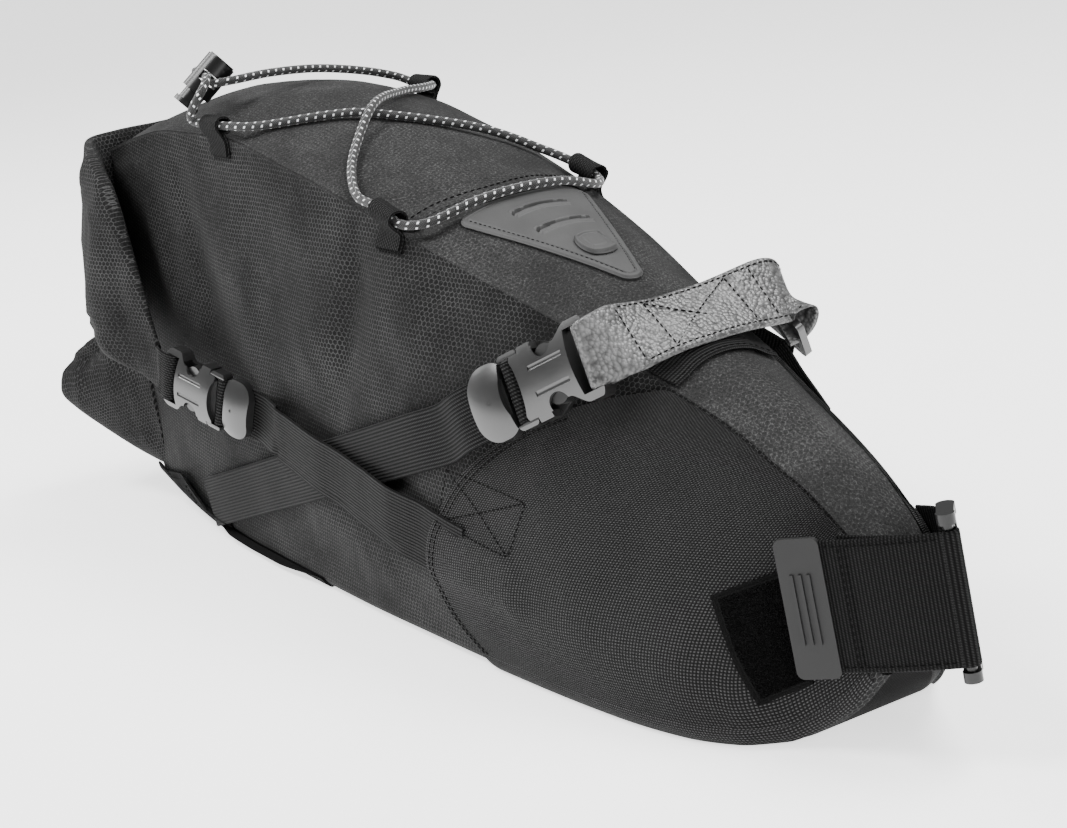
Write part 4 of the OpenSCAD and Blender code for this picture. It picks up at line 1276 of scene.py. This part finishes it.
def patch_badge():
    """Plain rounded pad with a raised rim."""
    s, t = np.meshgrid(np.linspace(-1, 1, 70), np.linspace(-1, 1, 70), indexing="ij")
    xs = BADGE_X + BADGE_HALF[0] * s * np.sqrt(np.clip(1 - 0.42 * t ** 2, 0, 1))
    ys = BADGE_HALF[1] * t * np.sqrt(np.clip(1 - 0.42 * s ** 2, 0, 1))
    rim = 1 - np.maximum(np.abs(s), np.abs(t))
    groove = smooth(0.26, 0.32, rim) - 0.6 * smooth(0.5, 0.56, rim)
    height = 3.0 + 1.7 * smooth(0, 0.12, rim) - 0.7 * groove
    moulding("patch_badge_mould", xs, ys, height, 1.0, "patch_badge")


def rubber_patch():
    """Moulded triangle with a stepped rim and two slots."""
    ends = np.linspace(0, math.pi, 260)
    x = lerp(PATCH_REAR, PATCH_FRONT, (1 - np.cos(ends)) / 2)
    t = np.linspace(-1, 1, 170)
    half = patch_half_width(x)
    xs = np.repeat(x[:, None], len(t), axis=1)
    ys = half[:, None] * t[None, :]
    tip = TIP_R - np.hypot(xs - TIP_X, ys)
    edge = np.minimum((half[:, None] - np.abs(ys)) * math.cos(PATCH_SLOPE), xs - PATCH_REAR)
    edge = np.where(xs > TIP_START, np.maximum(tip, 0), edge)
    step = smooth(2.2, 2.5, edge) - smooth(3.0, 3.3, edge)
    height = PATCH_LIFT - 0.9 * (1 - smooth(0, 0.9, edge)) - 0.5 * step
    for slot_x, slot_half in SLOTS:
        across = np.abs(xs - slot_x - 0.004 * ys ** 2)
        along = smooth(0, 1.2, slot_half - np.abs(ys))
        height += 0.8 * (1 - smooth(2.4, 3.2, across)) * along
        height -= 2.7 * (1 - smooth(0.8, 1.1, across)) * along
    moulding("rubber_patch_mould", xs, ys, height, 1.2, "rubber_patch")
    patch_badge()
    row = np.linspace(PATCH_REAR + 4, TIP_START, 60)
    inner = patch_half_width(row) - 3.2
    rows = [top_point(row, sign * inner, THREAD_LIFT) for sign in (-1, 1)]
    stitches("patch_stitches", rows, (0.3, 0, 1), "bag", pitch=2.4, length=1.5, radius=0.24)


# ---- bungee

# The cord's centre line from the lock, through the four loops and back to the lock
ROUTE = [
    [-173.5, -43.4, 227.2], [-181, -40.8, 227.4], [-189, -38.6, 228.5], [-193.5, -40, 230.5],
    [-190.5, -42.8, 231], [-182, -45, 230.6], [-172, -47.5, 230.8], [-162, -51.5, 229.5],
    [-158, -57.5, 224.5], [-163, -61, 216.5], [-166, -59.5, 211.5], [-157, -57.2, 210.3],
    [-148, -57, 210.4], [-138, -56, 210.3], [-124, -46, 209.5], [-100, -22, 211.8],
    [-84, -8, 210.8], [-50, 24, 200.8], [-28, 43, 188.8], [-17, 50.5, 182.8],
    [-8, 51.5, 180.2], [1, 50.5, 176.6], [10, 42, 177.0], [15.5, 22, 182.6],
    [17.5, 0, 184.4], [15.5, -22, 182.6], [10, -42, 177.0], [1, -50.5, 176.6],
    [-8, -51.5, 180.2], [-17, -51, 182.8], [-32, -51.5, 186], [-49, -43.5, 194],
    [-65, -30, 203], [-83, -9, 215.4], [-108, 19, 214.8], [-126, 43, 212],
    [-138, 55, 210.6], [-148, 57, 210.4], [-157, 57, 210.4], [-165, 51, 214.4], [-167.5, 34, 219.8],
    [-165, 8, 225.2], [-161.5, -18, 227.6], [-159.5, -38, 227.6], [-163.5, -46.4, 227.2],
    [-172.4, -43.8, 227.2],
]


def bungee():
    made = sweep("shock_cord", spline(ROUTE, 10), (0.13, 0.09, 1.0), round_profile(CORD_D / 2))
    finish_piece(made, "bag", "cord", "cord", "bungee_cord")


LOOP_R, LOOP_LEAN = 3.9, math.radians(-34)
# Place of the cord in the rear and front loops, and how far each pair slopes down, in degrees
LOOP_PLACES = ((-148, 57, 210.4, 0), (-8, 51.5, 180.2, 15.5))


def cord_loops():
    """Folded webbing tabs in the top seams, one round each corner of the lacing."""
    turns = np.radians(np.arange(-150, 151, 25)) + LOOP_LEAN
    arc = [[LOOP_R * math.sin(a), LOOP_R * math.cos(a)] for a in turns]
    for x, y, z, tilt in LOOP_PLACES:
        across = (math.cos(math.radians(tilt)), 0, -math.sin(math.radians(tilt)))
        seam = float(section(x)[1])
        for side, mark in ((-1, "m1"), (1, "p1")):
            feet = [side_point(x, seam - drop, side, lift)
                    for drop, lift in ((9.0, 0.3), (1.5, 0.3), (1.0, 1.7), (8.0, 1.7))]
            feet = [[abs(float(p[1])) - y, float(p[2]) - z] for p in feet]
            outline = spline(feet[:2] + arc + feet[2:], 4)
            path = np.array([[x, side * (y + a), z + b] for a, b in outline])
            webbing(f"cord_loop_m{-x}_{mark}", path, across, "tab_webbing",
                                size=(17, 1.1), columns=8)
    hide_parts("cord_loops")


# ---- carried-over CAD

MOULDED = {
    "plastic": ["rail_ladder_lock", "rail_buckle_female", "rail_buckle_male",
                "rail_buckle_prong_upper", "rail_buckle_prong_lower"]
    + [f"roll_buckle_{half}_{name}" for half in ("male", "female") for name in SIDES]
    + [f"roll_prong_{end}_{name}" for end in ("upper", "lower") for name in SIDES],
    "dark_plastic": ["seatpost_ring", "cord_lock_body", "cord_lock_plunger"],
    "tab_rubber": ["pull_tab"],
}


def dress_cad():
    """Moulded parts keep their CAD shape and get soft edges and their material."""
    for look, nodes in MOULDED.items():
        for node in nodes:
            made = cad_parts[node]
            made.data.materials.clear()
            made.data.materials.append(MATERIALS[look])
            bevel = made.modifiers.new("soft_edges", "BEVEL")
            bevel.width = 0.45 * MM
            bevel.segments = 3
            bevel.limit_method = "ANGLE"
            bevel.angle_limit = math.radians(32)
            bevel.harden_normals = True


# ---- stage

FLOOR_HALF = 6.0
LIT_SPOT = (0, 0, 0.1)
WHITE = (1, 1, 1, 1)
# Lamps as place in metres, size in metres and power in watts
LAMPS = {
    "key": ((-0.5, -0.8, 1.5), (0.7, 0.5), 29),
    "top": ((0.3, 0.6, 1.6), (1.0, 0.7), 35),
    "nose": ((1.6, -0.1, 1.0), (0.5, 0.8), 13),
    "rear": ((-1.5, -0.5, 1.0), (0.5, 0.7), 14),
}


def area_light(name, spot, size, power_w):
    data = bpy.data.lights.new(name, "AREA")
    data.shape = "RECTANGLE"
    data.size, data.size_y = size
    data.energy = power_w
    lamp = bpy.data.objects.new(name, data)
    bpy.context.scene.collection.objects.link(lamp)
    lamp.location = spot
    aim = Vector(LIT_SPOT) - Vector(spot)
    lamp.rotation_euler = aim.to_track_quat("-Z", "Y").to_euler()


def stage():
    world = bpy.data.worlds.new("studio")
    world.use_nodes = True
    sky = world.node_tree.nodes["Background"]
    sky.inputs["Color"].default_value = WHITE
    sky.inputs["Strength"].default_value = 0.33
    bpy.context.scene.world = world
    mesh = bpy.data.meshes.new("floor")
    corners = [(x * FLOOR_HALF, y * FLOOR_HALF, 0) for x, y in ((-1, -1), (1, -1), (1, 1), (-1, 1))]
    mesh.from_pydata(corners, [], [(0, 1, 2, 3)])
    floor = bpy.data.objects.new("floor", mesh)
    bpy.context.scene.collection.objects.link(floor)
    paper = Shader("studio_floor", 0.9, specular=0.1)
    paper.colour(paper.noise(3, 2), [(0.3, 0.90), (0.7, 0.93)])
    paper.shader.inputs["Emission Color"].default_value = WHITE
    paper.shader.inputs["Emission Strength"].default_value = 1.6
    mesh.materials.append(paper.material)
    for name, (spot, size, power_w) in LAMPS.items():
        area_light(name, spot, size, power_w)


# ---- build

for side_name, side_sign in SIDES.items():
    side_panel(side_name, side_sign)
    nose_cover(side_name, side_sign)
    support_flap(side_name, side_sign)
    compression_straps(side_name, side_sign)
    roll_tongue(side_name, side_sign)
for build in (top_cloth, rear_top_cloth, base_cloth, nose_gusset, rear_cloth, rear_bulge,
              roll_closure, liner_cloth, support_straps, rail_strap, rail_anchor, rail_underlay,
              seatpost_strap, seatpost_roots, hook_patch, rubber_patch, bungee, cord_loops,
              dress_cad, stage):
    build()
